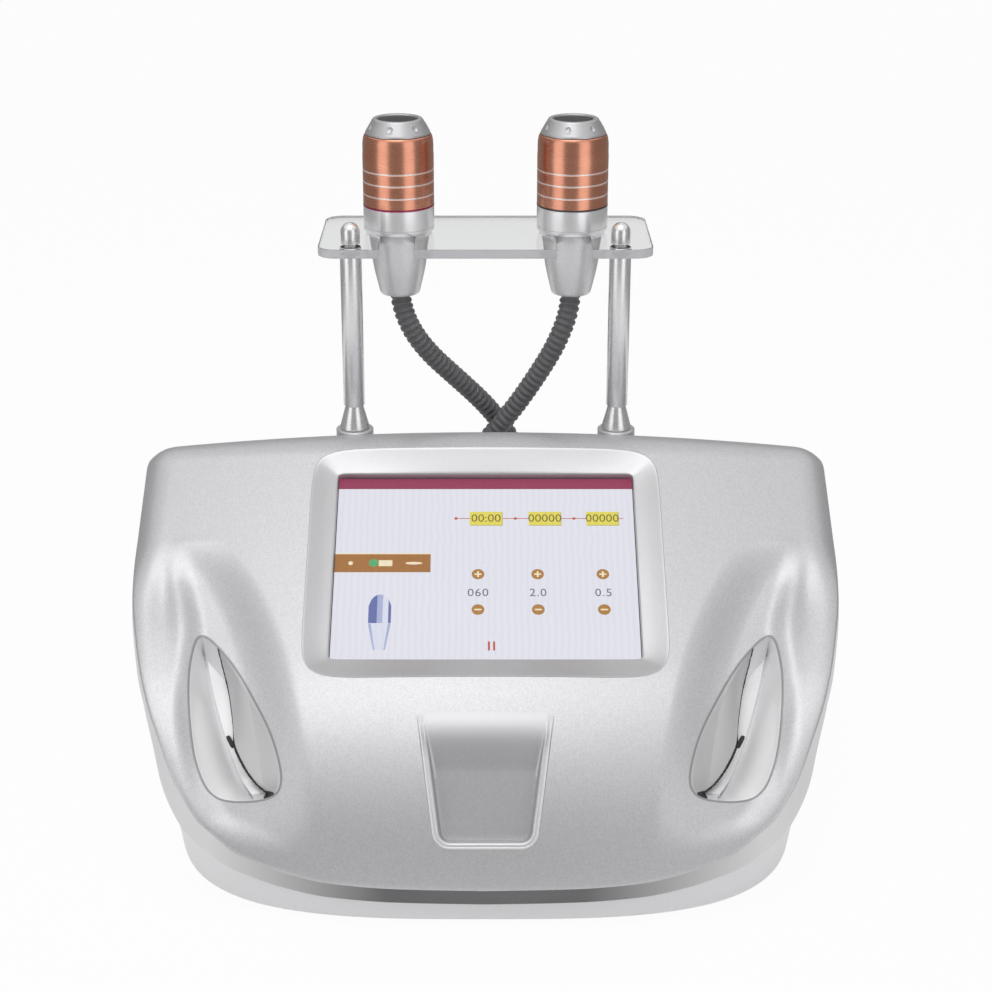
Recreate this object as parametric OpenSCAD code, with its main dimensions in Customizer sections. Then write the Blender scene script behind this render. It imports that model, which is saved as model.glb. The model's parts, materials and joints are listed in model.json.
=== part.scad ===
// Desktop ultrasound skin care machine: a tilted touch screen console with two side holsters,
// and a clear rack on two posts that holds two round handpieces on ribbed hoses.
// Millimetres, +X to the viewer's right, +Y to the back, +Z up. The origin is the middle of the
// footprint, on the surface that the feet stand on.

/* [Housing] */
// Half width of the cover at its widest edge
body_half_w = 190.5; // [188:0.5:192]
// Y of the front lip
lip_y = -146; // [-148:1:-142]
// Height of the front lip
lip_z = 24.6; // [23:0.2:27]
// Slope of the cover at the lip, in degrees
lip_angle = 74.7; // [73:0.1:76]
// Slope of the flat face, in degrees
face_angle = 30.5; // [30:0.1:31]
// Radius of the curve under the screen
lip_r = 157.6; // [154:0.2:161]
// Length of the straight face
face_len = 136.5; // [134:0.5:139]
// Radius of the crest
crest_r = 30; // [28:0.5:32]
// Radius of the crown across the width
dome_r = 1875; // [1500:25:2400]
// Wall of the mouldings
wall = 3; // [2.6:0.1:3.2]
// Depth of the edge band of the cover
band_d = 14; // [12:0.5:15]
// Gap between mouldings that meet
seam_gap = 0.3; // [0.2:0.05:0.5]
// Height of the tub floor above the table
foot_h = 3; // [3:0.5:6]
// How far the tub stands in from the cover's widest edge
tub_in = 25.5; // [23:0.5:30]

/* [Screen] */
// Width of the lit picture
lcd_w = 162.4; // [160:0.1:165]
// Height of the lit picture
lcd_h = 121.8; // [119:0.1:124]
// Width of the sloping bezel round the picture
bezel_w = 14.2; // [13:0.1:15]
// Depth of the bezel's inner edge below the face
bezel_d = 5; // [4:0.1:6]
// Depth of the glass below the face
glass_d = 9.4; // [8.5:0.1:10.5]
// Distance from the start of the flat face up to the middle of the picture
screen_up = 64.1; // [62:0.1:66]

/* [Rack] */
// Distance between the two posts
post_gap = 149.5; // [146:0.5:153]
// Y of the posts
post_y = 81; // [79:0.5:83]
// Radius of the posts
post_r = 6; // [5:0.1:7]
// Top face of the rack plate
rack_z = 297; // [292:0.5:302]
// Thickness of the rack plate
rack_t = 5; // [4:0.1:6]
// Width of the rack plate
rack_w = 185; // [180:1:190]
// Depth of the rack plate
rack_d = 79; // [76:0.5:80]
// Half distance between the handpieces
hand_x = 49; // [48:0.5:50]
// Y of the handpieces
hand_y = 113; // [112:0.5:114]
// Radius of the hole that holds a handpiece
nest_r = 18.25; // [18:0.05:18.6]
// Width of the slot that lets the hose in
slot_w = 19.5; // [16:0.5:22]

/* [Handpiece] */
// Radius of the handpiece
hand_r = 20; // [19.6:0.1:21]
// Length of the silver collar
collar_l = 14.6; // [12:0.1:16]
// Thickness of the accent ring
accent_t = 0.7; // [0.5:0.1:1]
// Height of the sleeve's end above the rack
sleeve_top = 55; // [53:0.5:58]
// Height of the grip ring
grip_h = 8.5; // [8:0.1:10]
// Length of the tail below the rack's top face
tail_l = 37; // [35:0.5:38]
// Number of thumb dimples round the grip ring
dimples = 7; // [5:1:9]
// Travel that lifts a handpiece clear of the rack
lift_travel = 45; // [40:1:50]

/* [Hose] */
// Outer radius of the ribs
hose_r = 6; // [5.6:0.1:6.1]
// Radius in the grooves
groove_r = 5.2; // [4.8:0.1:5.3]
// Radius of the bore
bore_r = 4; // [3:0.1:4.2]
// Ribs in each step of the route
ribs_per_step = 3; // [3:1:4]
// Radius of the coil at the middle of its turns
coil_mid_r = 61; // [60:0.5:63]
// Distance between turns that lie side by side or on each other
coil_step = 12.8; // [12.6:0.1:13]

/* [Rear] */
// Diameter of the fan's rotor opening
fan_d = 56; // [50:1:57]
// Outer size of the fan frame
fan_size = 60; // [59:1:62]
// X of the fan
fan_x = 96; // [92:1:98]
// X of the mains inlet
inlet_x = -100; // [-102:1:-96]
// Height of the fan and the inlet
rear_z = 78; // [76:1:80]
// Height of the hose sockets
socket_z = 104; // [103:0.5:105]

/* [Hidden] */
$fn = 64;
clear = 0.1;
skin_gap = 0.3;
// Arcs and straights of the cover's side profile: length, start slope, end slope
crest_angle = -19.7;
back_r = 60;
back_angle = -32;
back_len = 50.1;
rear_r = 22;
rear_len = 125.8;
function arc_len(r, a, b) = r * (a - b) * PI / 180;
PROFILE = [
  [arc_len(lip_r, lip_angle, face_angle), lip_angle, face_angle],
  [face_len, face_angle, face_angle],
  [arc_len(crest_r, face_angle, crest_angle), face_angle, crest_angle],
  [arc_len(back_r, crest_angle, back_angle), crest_angle, back_angle],
  [back_len, back_angle, back_angle],
  [arc_len(rear_r, back_angle, -90), back_angle, -90],
  [rear_len + 60, -90, -90]
];
face_s = PROFILE[0][0];
crest_s = face_s + face_len;
back_s = crest_s + PROFILE[2][0] + PROFILE[3][0];
roll_s = back_s + back_len;
wall_s = roll_s + PROFILE[5][0];
end_s = wall_s + rear_len;
seam_s = back_s + 21;

function step_on(p, seg, d) =
  let (k = (seg[2] - seg[1]) / seg[0], a = seg[1] + k * d, r = abs(k) < 1e-6 ? 0 : 180 / (PI * k))
  r == 0 ? [p[0] + d * cos(a), p[1] + d * sin(a), a]
         : [p[0] + r * (sin(a) - sin(seg[1])), p[1] - r * (cos(a) - cos(seg[1])), a];
function along(s, i = 0, p = [lip_y, lip_z, lip_angle]) =
  (i == len(PROFILE) - 1 || s <= PROFILE[i][0]) ? step_on(p, PROFILE[i], s)
  : along(s - PROFILE[i][0], i + 1, step_on(p, PROFILE[i], PROFILE[i][0]));
function smooth(x) = let (t = min(1, max(0, x))) t * t * (3 - 2 * t);
function unit(v) = v / norm(v);

// The finger scoop above and beside each holster by s: its inner and outer edges, measured from the
// cover's widest edge, and its depth
SCOOP_IN = [[18, -110.5], [49, -103.5], [77, -93.5], [119, -78.5], [160, -62.5], [200, -40.5]];
SCOOP_OUT = [[18, -40.5], [100, -34.5], [141, -35.5], [178, -27.5], [200, -22.5]];
SCOOP_DEEP = [[18, 0], [45, 4.5], [90, 7], [140, 8], [175, 6.5], [200, 0]];
scoop_fade = 20;
function scoop(u, s) =
  let (v = u - body_half_w)
  (lookup(s, SCOOP_DEEP) * smooth((v - lookup(s, SCOOP_IN)) / 16)
    * (1 - 0.75 * smooth((v - lookup(s, SCOOP_OUT) + 8) / 14))
  + 2.2 * exp(-pow((v + 17.5) / 9, 2) - pow((s - 168) / 26, 2)))
  * smooth(min(half_w(s) - u, s - lookup(u, FRONT_EDGE)) / scoop_fade);
function crown(s) = s < back_s ? 1 : max(0, 1 - (s - back_s) / 50);
function skin(x, s, off, scooped = 0) =
  let (p = along(s), d = off - crown(s) * x * x / (2 * dome_r) - (scooped ? scoop(abs(x), s) : 0))
  [x, p[0] - sin(p[2]) * d, p[1] + cos(p[2]) * d];

// Plan of the cover on its unrolled surface: half width by s, and the edges across the ends
corner_s = 27;
rear_corner_s = end_s - 25;
FRONT_SIDE = [[27, -54.5], [34, -46.5], [44, -39.5], [56, -33], [75, -25.5], [100, -16.5],
  [137, -7.5], [170, -2], [204, 0], [262, 0], [318, -1.5]];
FRONT_EDGE = [[0, 0], [45, 0.8], [78, 3.3], [101, 8.4], [115, 13.4], [126.5, 18.5], [137, 27]];
REAR_SIDE = [[318, -1.5], [370, -1.5], [471, -23.5]];
REAR_EDGE = [[0, 0], [110, -0.4], [140, -5.4], [156, -14.4], [165, -25]];
ACROSS = [0, 0.16, 0.32, 0.46, 0.54, 0.6, 0.65, 0.7, 0.75, 0.8, 0.85, 0.9, 0.95, 1];
ACROSS_REAR = [0, 0.25, 0.5, 0.7, 0.85, 0.95, 1];
FRONT_ROWS = 31;
function both(h) = concat([for (i = [len(h) - 1:-1:1]) -h[i]], h);
function half_w(s) = body_half_w + (s < seam_s + 0.15 ? lookup(s, FRONT_SIDE)
  : lookup(s, REAR_SIDE));

function front_uv(e, j, inset) =
  let (f = 1 - j / FRONT_ROWS, s0 = seam_s + (corner_s - seam_s) * f,
       edge = lookup(abs(e) * 137, FRONT_EDGE) + inset)
  [e * (half_w(s0) - inset), seam_s + (edge - seam_s) * f];
REAR_STEPS = [0, 0.1, 0.19, 0.23, 0.27, 0.31, 0.34, 0.5, 0.7, 0.88, 1];
rear_seam_s = seam_s + seam_gap;
function rear_uv(e, j, inset) =
  let (f = REAR_STEPS[len(REAR_STEPS) - 1 - j], s0 = rear_seam_s + (rear_corner_s - rear_seam_s) * f,
       edge = end_s + lookup(abs(e) * 165, REAR_EDGE) - inset)
  [e * (half_w(s0) - inset), rear_seam_s + (edge - rear_seam_s) * f];

// Band round a cover: how far it flares and how deep it goes, by s
function frontness(s) = 1 - smooth((s - 20) / 90);
function flare(s) = 2 + 8.6 * frontness(s);
function depth(s) = band_d - 4.9 * frontness(s) - 2 * smooth((s - end_s + 60) / 40);

// Boundary of a grid in order: down one side, across the free end, up the other side
function rim(uv) =
  let (nj = len(uv) - 1, ni = len(uv[0]) - 1)
  concat([for (j = [nj:-1:0]) uv[j][0]], [for (i = [1:ni]) uv[0][i]], [for (j = [1:nj]) uv[j][ni]]);
function rim_at(nj, ni, w) =
  concat([for (j = [nj:-1:0]) j * w], [for (i = [1:ni]) i], [for (j = [1:nj]) j * w + ni]);
function outward(b, k, turn) =
  let (n = len(b) - 1, d = unit(b[min(k + 1, n)] - b[max(k - 1, 0)]))
  turn * (k == 0 || k == n ? [sign(b[k][0]) * turn, 0] : [d[1], -d[0]]);
function pushed(b, k, turn, by, off) =
  let (q = b[k] + outward(b, k, turn) * by)
  skin(q[0], q[1], off);

function front_grid(inset) = [for (j = [0:FRONT_ROWS]) [for (e = both(ACROSS)) front_uv(e, j, inset)]];
function rear_grid(inset) =
  [for (j = [0:len(REAR_STEPS) - 1]) [for (e = both(ACROSS_REAR)) rear_uv(e, j, inset)]];

// A crowned skin with its edge band, as one closed mesh
module cover(uv, uv_in, scooped, turn) {
  nj = len(uv) - 1;
  ni = len(uv[0]) - 1;
  w = ni + 1;
  n = w * (nj + 1);
  b = rim(uv);
  at = rim_at(nj, ni, w);
  m = len(b);
  outer = [for (row = uv) for (q = row) skin(q[0], q[1], 0, scooped)];
  inner = [for (row = uv_in) for (q = row) skin(q[0], q[1], -wall, scooped)];
  low = [for (k = [0:m - 1]) pushed(b, k, turn, flare(b[k][1]), -depth(b[k][1]))];
  low_in = [for (k = [0:m - 1]) pushed(b, k, turn, flare(b[k][1]) - wall, -depth(b[k][1]))];
  quads = concat(
    [for (j = [0:nj - 1]) for (i = [0:ni - 1]) [j * w + i, (j + 1) * w + i, (j + 1) * w + i + 1, j * w + i + 1]],
    [for (j = [0:nj - 1]) for (i = [0:ni - 1])
      [n + j * w + i, n + j * w + i + 1, n + (j + 1) * w + i + 1, n + (j + 1) * w + i]],
    [for (k = [0:m - 2]) [at[k], at[k + 1], 2 * n + k + 1, 2 * n + k]],
    [for (k = [0:m - 2]) [2 * n + k, 2 * n + k + 1, 2 * n + m + k + 1, 2 * n + m + k]],
    [for (k = [0:m - 2]) [n + at[k], 2 * n + m + k, 2 * n + m + k + 1, n + at[k + 1]]],
    [for (i = [0:ni - 1]) [nj * w + i, n + nj * w + i, n + nj * w + i + 1, nj * w + i + 1]],
    [[at[0], 2 * n, 2 * n + m, n + at[0]], [at[m - 1], n + at[m - 1], 2 * n + 2 * m - 1, 2 * n + m - 1]]);
  tris = [for (q = quads) for (t = [[q[0], q[1], q[2]], [q[0], q[2], q[3]]])
    turn > 0 ? t : [t[0], t[2], t[1]]];
  polyhedron(concat(outer, inner, low, low_in), tris, convexity = 10);
}

// Closed curve through key points, each stretch cut into equal steps
function spline(p0, p1, p2, p3, t) =
  0.5 * (2 * p1 + (p2 - p0) * t + (2 * p0 - 5 * p1 + 4 * p2 - p3) * t * t
    + (3 * p1 - p0 - 3 * p2 + p3) * t * t * t);
function closed_curve(p, steps) =
  let (n = len(p))
  [for (i = [0:n - 1]) for (k = [0:steps - 1])
    spline(p[(i + n - 1) % n], p[i], p[(i + 1) % n], p[(i + 2) % n], k / steps)];
function open_curve(p, steps) =
  let (n = len(p) - 1, q = concat([2 * p[0] - p[1]], p, [2 * p[n] - p[n - 1]]))
  concat([for (i = [0:n - 1]) for (k = [0:steps - 1])
    spline(q[i], q[i + 1], q[i + 2], q[i + 3], k / steps)], [p[n]]);

// Stacked rings of equal count joined into one closed solid
module lofted(rings, flip = false) {
  c = len(rings[0]);
  n = len(rings);
  function mid(r) = let (s = [for (p = r) 1] * r) s / c;
  pts = concat([for (r = rings) for (p = r) p], [mid(rings[0]), mid(rings[n - 1])]);
  faces = concat(
    [for (j = [0:n - 2]) for (i = [0:c - 1]) each
      [[j * c + i, (j + 1) * c + i, j * c + (i + 1) % c],
       [(j + 1) * c + i, (j + 1) * c + (i + 1) % c, j * c + (i + 1) % c]]],
    [for (i = [0:c - 1]) [n * c, i, (i + 1) % c]],
    [for (i = [0:c - 1]) [n * c + 1, (n - 1) * c + (i + 1) % c, (n - 1) * c + i]]);
  polyhedron(pts, [for (f = faces) flip ? [f[0], f[2], f[1]] : f], convexity = 6);
}

// Almond outline of the holster mouth on the unrolled surface: distance from the widest edge, s
MOUTH = [[-42, 139.5], [-37, 122], [-39, 92], [-44.5, 63], [-55.5, 46.5], [-78.5, 45.5],
  [-87.5, 54], [-83.5, 74], [-72.5, 97], [-58.5, 122]];
mouth_c = [body_half_w - 62.5, 88];
mouth = [for (p = closed_curve(MOUTH, 3)) p + [body_half_w, 0]];
function mouth_ring(side, fu, fs, off, scooped = 0) =
  [for (p = mouth) let (q = mouth_c + [(p[0] - mouth_c[0]) * fu, (p[1] - mouth_c[1]) * fs])
    skin(side * q[0], q[1], off, scooped)];
cup_d = 30;
cup_wall = 2;
// Width and length of the cup at each depth, as shares of its mouth
CUP = [[0.975, 0.99, 0.6], [0.8, 0.93, 12], [0.5, 0.8, 25], [0.34, 0.7, cup_d]];

// Frame that lies on the flat face at the middle of the screen
screen_at = along(face_s + screen_up);
module on_face() {
  translate([0, screen_at[0], screen_at[1]]) rotate([face_angle, 0, 0]) children();
}
function power(v, n) = sign(v) * pow(abs(v), 2 / n);
function squarish(a, b, n, z, count = 64) =
  [for (k = [0:count - 1]) let (t = 360 * k / count + 0.01) [a * power(cos(t), n), b * power(sin(t), n), z]];
function flat(ring) = [for (p = ring) [p[0], p[1]]];
bezel_a = lcd_w / 2 + bezel_w;
bezel_b = lcd_h / 2 + bezel_w + 0.4;
bezel_n = 8;
module rounded(w, d, r, h) {
  linear_extrude(h) hull_square(w, d, r);
}
module hull_square(w, d, r) {
  square([w - 2 * r, d], center = true);
  square([w, d - 2 * r], center = true);
  for (x = [-1, 1], y = [-1, 1]) translate([x * (w / 2 - r), y * (d / 2 - r)]) circle(r);
}

// Hollow under the screen: a tray let into the cover, square to its own sloping floor
tray_top_s = 88;
tray_low_s = 20;
tray_deep = 6.5;
tray_hi = along(tray_top_s);
tray_lo0 = along(tray_low_s);
tray_lo = [tray_lo0[0] + sin(tray_lo0[2]) * tray_deep, tray_lo0[1] - cos(tray_lo0[2]) * tray_deep];
tray_angle = atan2(tray_hi[1] - tray_lo[1], tray_hi[0] - tray_lo[0]);
tray_len = norm([tray_hi[0] - tray_lo[0], tray_hi[1] - tray_lo[1]]);
tray_r = 9;
tray_t = 2.2;
lip_axis = [lip_y + lip_r * sin(lip_angle), lip_z - lip_r * cos(lip_angle)];
module on_tray() {
  translate([0, tray_lo[0], tray_lo[1]]) rotate([tray_angle, 0, 0]) children();
}
module tray_plan(grow) {
  polygon(concat(
    [[34.6 + grow, tray_len], [-34.6 - grow, tray_len]],
    [for (a = [190:16:270]) [-26.7 + tray_r + (tray_r + grow) * cos(a), tray_r + (tray_r + grow) * sin(a)]],
    [for (a = [270:16:350]) [26.7 - tray_r + (tray_r + grow) * cos(a), tray_r + (tray_r + grow) * sin(a)]]));
}

// Flat seats for the posts behind the crest
seat_z = skin(post_gap / 2, crest_s + 12, 0)[2] - 1.4;
seat_r = 10.6;
stud_r = 3;
foot_r = 8.4;
foot_neck_r = 5;
foot_l = 13.5;

module front_shell() {
  color([0.86, 0.86, 0.87]) resize([0, 0, 0]) difference() {
    union() {
      cover(front_grid(0), front_grid(wall), 1, 1);
      for (x = [-1, 1]) translate([x * post_gap / 2, post_y, seat_z - 16]) cylinder(r = seat_r, h = 16, $fn = 32);
    }
    for (side = [-1, 1]) {
      lofted([mouth_ring(side, 1, 1, 14), mouth_ring(side, 1, 1, -16)], side < 0);
      translate([side * post_gap / 2, post_y, seat_z - 30]) cylinder(r = stud_r + clear, h = 40, $fn = 24);
    }
    on_face() linear_extrude(60, center = true) polygon(flat(squarish(bezel_a + clear, bezel_b + clear, bezel_n, 0)));
    on_tray() linear_extrude(60, center = true) tray_plan(clear);
  }
}

panel_w = 272;
panel_h = 104;
panel_t = 2;
rear_wall_y = along(wall_s + 10)[0];
window_w = panel_w - 12;
window_h = panel_h - 12;
panel_z = 76;
module rear_cover() {
  color([0.84, 0.84, 0.85]) resize([0, 0, 0]) difference() {
    cover(rear_grid(0), rear_grid(wall), 0, -1);
    translate([0, rear_wall_y + 10, panel_z]) rotate([90, 0, 0]) rounded(window_w, window_h, 8, 40);
  }
}

// Tub: from its plan on the table up to just inside the bands of both covers
tub_half_w = body_half_w - tub_in;
tub_front = 140.5;
tub_rear = 115;
tub_wall = 2.6;
tub_mid_y = -14;
function plan_r(t, inset) =
  let (c = cos(t), s = sin(t), b = s < 0 ? tub_front + tub_mid_y : tub_rear - tub_mid_y, n = s < 0 ? 3.2 : 6)
  pow(pow(abs(c) / (tub_half_w - inset), n) + pow(abs(s) / (b - inset), n), -1 / n);
tub_tuck = 4;
tub_gap = 0.9;
// Point of the tub inside a cover's band: up from the band's lower edge, and in by the gap
function tub_top(b, b_in, k, turn, up, more) =
  let (s = b[k][1], d = depth(s), f = up / (d - wall), o = outward(b, k, turn),
       q = (1 - f) * (b[k] + o * (flare(s) - wall)) + f * b_in[k] - o * (tub_gap + more))
  skin(q[0], q[1], -d * (1 - f) - wall * f);
front_rim = rim(front_grid(0));
front_rim_in = rim(front_grid(wall));
rear_rim = rim(rear_grid(0));
rear_rim_in = rim(rear_grid(wall));
module base_tub() {
  function top(up, more) = concat(
    [for (k = [0:len(front_rim) - 1]) tub_top(front_rim, front_rim_in, k, 1, up, more)],
    [for (k = [len(rear_rim) - 1:-1:0]) tub_top(rear_rim, rear_rim_in, k, -1, up, more)]);
  top_out = top(tub_tuck, 0);
  function low(inset, z) = [for (p = top_out)
    let (t = atan2(p[1] - tub_mid_y, p[0]), r = plan_r(t, inset)) [r * cos(t), tub_mid_y + r * sin(t), z]];
  color([0.88, 0.88, 0.89]) difference() {
    lofted([low(0, foot_h), top(0, 0), top_out, top(tub_tuck, tub_wall), top(0, tub_wall),
      low(tub_wall, foot_h + wall)]);
    for (p = SCREWS) translate([p[0], p[1], foot_h - 1]) cylinder(r = screw_r + clear, h = wall + 2);
  }
}

SCREWS = [[-122, -40], [122, -40], [-134, 70], [134, 70], [0, -72], [0, 87]];
screw_r = 1.9;
FEET = [[-112, -72], [112, -72], [-125, 92], [125, 92]];
foot_pad_r = 9;
chassis_z = foot_h + wall;
chassis_t = 1.5;
chassis_w = 290;
chassis_d = 176;
chassis_y = 5;

module screen_bezel() {
  function drop(ring, z) = [for (p = ring) [p[0], p[1], z - p[0] * p[0] / (2 * dome_r)]];
  color([0.72, 0.72, 0.74]) on_face() ring_solid([
    drop(squarish(bezel_a, bezel_b, bezel_n, 0), -0.5),
    squarish(lcd_w / 2 + 0.4, lcd_h / 2 + 0.5, 30, -bezel_d),
    squarish(lcd_w / 2 + 0.4, lcd_h / 2 + 0.5, 30, clear - glass_d),
    squarish(bezel_a, bezel_b, bezel_n, clear - glass_d)]);
}
// Rings joined in order and back to the first, which makes a frame
module ring_solid(rings) {
  c = len(rings[0]);
  n = len(rings);
  polyhedron([for (r = rings) for (p = r) p],
    [for (j = [0:n - 1]) for (i = [0:c - 1])
      let (a = j * c, b = ((j + 1) % n) * c, k = (i + 1) % c)
      each [[a + i, b + i, b + k], [a + i, b + k, a + k]]], convexity = 4);
}
glass_t = 1.1;
module touch_glass() {
  color([0.08, 0.08, 0.1]) on_face() translate([0, 0, -glass_d - glass_t]) rounded(lcd_w + 10, lcd_h + 10, 3, glass_t);
}
panel_lcd_t = 5.7;
module lcd_panel() {
  color([0.85, 0.87, 0.95]) on_face() translate([0, 0, -glass_d - glass_t - clear - panel_lcd_t])
    rounded(lcd_w + 20.6, lcd_h + 19.2, 2, panel_lcd_t);
}
bracket_t = 1.2;
bracket_x = bezel_a + 7;
bracket_y = 50;
module lcd_bracket() {
  low = -glass_d - glass_t - 2 * clear - panel_lcd_t - bracket_t;
  color([0.6, 0.62, 0.64]) on_face() {
    translate([0, 0, low]) linear_extrude(bracket_t) difference() {
      union() {
        hull_square(lcd_w + 26, lcd_h + 24, 3);
        for (y = [-1, 1]) translate([0, y * bracket_y]) hull_square(2 * bracket_x + 12, 16, 3);
      }
      hull_square(lcd_w - 40, lcd_h - 40, 6);
    }
    for (x = [-1, 1], y = [-1, 1]) translate([x * bracket_x, y * bracket_y, low])
      cylinder(r = 3, h = -low - wall - skin_gap - (bracket_x + 3) * (bracket_x + 3) / (2 * dome_r));
  }
}

module holster(side) {
  outer = [for (c = CUP) mouth_ring(side, c[0], c[1], -c[2], 1 - sign(floor(c[2] / 5)))];
  inner = [for (c = CUP) mouth_ring(side, c[0] - cup_wall / 26, c[1] - cup_wall / 47,
    -c[2] + (c[2] == cup_d ? cup_wall : 0), 1 - sign(floor(c[2] / 5)))];
  rings = concat([for (i = [len(outer) - 1:-1:0]) outer[i]], inner);
  color([0.8, 0.8, 0.81]) lofted(rings, side > 0);
}
module left_holster() { holster(-1); }
module right_holster() { holster(1); }

module centre_tray() {
  color([0.7, 0.7, 0.71]) intersection() {
    on_tray() difference() {
      translate([0, 0, -tray_t]) linear_extrude(30) tray_plan(-clear);
      linear_extrude(40) intersection() {
        tray_plan(-tray_t);
        translate([-50, 0]) square([100, tray_len - 12]);
      }
      translate([-50, tray_len - 12.1, 0]) cube([100, 30, 40]);
    }
    translate([-60, lip_axis[0], lip_axis[1]]) rotate([0, 90, 0]) cylinder(r = lip_r - 0.5, h = 120, $fn = 200);
  }
}

module chassis_plate() {
  color([0.7, 0.71, 0.72]) translate([0, chassis_y, chassis_z]) difference() {
    rounded(chassis_w, chassis_d, 8, chassis_t);
    for (p = SCREWS) translate([p[0], p[1] - chassis_y, -1]) cylinder(r = screw_r + clear, h = 4);
  }
}
module rubber_feet() {
  color([0.1, 0.1, 0.1]) for (p = FEET) translate([p[0], p[1], 0]) rotate_extrude()
    polygon([[0, 0], [foot_pad_r - 0.8, 0], [foot_pad_r, 0.8], [foot_pad_r, foot_h], [0, foot_h]]);
}
module case_screws() {
  top = chassis_z + chassis_t;
  color([0.55, 0.55, 0.57]) for (p = SCREWS) translate([p[0], p[1], 0]) {
    rotate_extrude() polygon([[0, foot_h - 2.2], [3.4, foot_h - 2.2], [3.8, foot_h - 1.6], [3.8, foot_h],
      [screw_r, foot_h], [screw_r, top + 4], [0, top + 4]]);
    translate([0, 0, top]) difference() {
      cylinder(r = 4, h = 3, $fn = 6);
      translate([0, 0, -1]) cylinder(r = screw_r, h = 6);
    }
  }
}

psu_w = 112;
psu_d = 78;
psu_h = 36;
psu_at = [-70, 40];
plug_gap_w = 56;
module power_supply() {
  z = chassis_z + chassis_t;
  color([0.72, 0.73, 0.74]) translate([psu_at[0], psu_at[1], z]) difference() {
    rounded(psu_w, psu_d, 2, psu_h);
    for (x = [-4:4]) translate([x * 11, 0, psu_h - 1.5]) cylinder(r = 3.4, h = 3);
    translate([psu_w / 2 - 6, -plug_gap_w / 2, psu_h - 8]) cube([8, plug_gap_w, 10]);
  }
}
board_t = 1.6;
standoff_h = 8;
board_z = chassis_z + chassis_t + standoff_h;
BOARDS = [[66, 42, 116, 76], [-66, -38, 92, 54], [66, -38, 92, 54]];
module board(k) {
  b = BOARDS[k];
  translate([b[0], b[1], board_z]) difference() {
    rounded(b[2], b[3], 2, board_t);
    for (x = [-1, 1], y = [-1, 1]) translate([x * (b[2] / 2 - 5), y * (b[3] / 2 - 5), -1])
      cylinder(r = 1.6, h = 5);
  }
}
module main_board() {
  b = BOARDS[0];
  color([0.1, 0.35, 0.2]) {
    board(0);
    translate([b[0] - 20, b[1] - 14, board_z + board_t]) cube([30, 30, 3]);
    translate([b[0] + 22, b[1] + 4, board_z + board_t]) cube([16, 24, 10]);
    for (x = [-44, -34]) translate([b[0] + x, b[1] + 22, board_z + board_t]) cylinder(r = 4, h = 12);
  }
}
module driver_board(k) {
  b = BOARDS[k];
  color([0.12, 0.3, 0.4]) {
    board(k);
    translate([b[0] - 26, b[1] - 15, board_z + board_t]) cube([24, 30, 14]);
    translate([b[0] + 10, b[1] - 12, board_z + board_t]) cube([20, 20, 4]);
  }
}
module left_driver_board() { driver_board(1); }
module right_driver_board() { driver_board(2); }
module board_standoffs() {
  color([0.8, 0.7, 0.4]) for (b = BOARDS, x = [-1, 1], y = [-1, 1])
    translate([b[0] + x * (b[2] / 2 - 5), b[1] + y * (b[3] / 2 - 5), chassis_z + chassis_t]) {
      cylinder(r = 2.8, h = standoff_h);
      cylinder(r = 1.5, h = standoff_h + board_t);
      translate([0, 0, standoff_h + board_t]) cylinder(r = 2.8, h = 1.6);
    }
}

// Rear panel and what it carries; its outer face is at panel_y
panel_y = rear_wall_y - wall - clear;
socket_x = 48;
socket_r = 10.3;
inlet_w = 44;
inlet_h = 54;
module at_rear(x, z, y = panel_y) {
  translate([x, y, z]) rotate([-90, 0, 0]) children();
}
module rear_panel() {
  color([0.75, 0.76, 0.77]) difference() {
    at_rear(0, panel_z, panel_y - panel_t) rounded(panel_w, panel_h, 4, panel_t);
    at_rear(fan_x, rear_z, panel_y - 10) cylinder(r = fan_d / 2, h = 20);
    for (x = [-1, 1], z = [-1, 1]) at_rear(fan_x + x * fan_pitch, rear_z + z * fan_pitch, panel_y - 10)
      cylinder(r = fan_screw_r + clear, h = 20);
    at_rear(inlet_x, rear_z, panel_y - 10) rounded(inlet_w, inlet_h, 1, 20);
    for (x = [-1, 1]) at_rear(x * socket_x, socket_z, panel_y - 10) cylinder(r = socket_r + clear, h = 20);
  }
}
fan_pitch = fan_size / 2 - 5;
fan_screw_r = 1.8;
fan_t = 15;
hub_r = 12;
module fan_frame() {
  color([0.13, 0.13, 0.14]) at_rear(fan_x, rear_z, panel_y - panel_t - fan_t) {
    difference() {
      rounded(fan_size, fan_size, 4, fan_t);
      translate([0, 0, -1]) cylinder(r = fan_d / 2, h = fan_t + 2);
      for (x = [-1, 1], y = [-1, 1]) translate([x * fan_pitch, y * fan_pitch, -1])
        cylinder(r = fan_screw_r + clear, h = fan_t + 2);
    }
    cylinder(r = hub_r, h = 2);
    for (a = [45:90:315]) rotate([0, 0, a]) translate([hub_r - 1, -1.5, 0]) cube([fan_d / 2 - hub_r + 1.5, 3, 2]);
    cylinder(r = 1.5, h = 9);
  }
}
module fan_impeller() {
  color([0.2, 0.2, 0.22]) at_rear(fan_x, rear_z, panel_y - panel_t - fan_t + 2.6) {
    difference() {
      cylinder(r = hub_r, h = 9);
      translate([0, 0, -1]) cylinder(r = 1.5 + clear / 2, h = 8);
    }
    for (a = [0:360 / 7:359]) rotate([0, 0, a]) translate([hub_r - 1.5, 0, 4.5]) rotate([35, 0, 0])
      translate([0, -5, -0.7]) cube([fan_d / 2 - hub_r - 1, 10, 1.4]);
  }
}
guard_t = 1.6;
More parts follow.
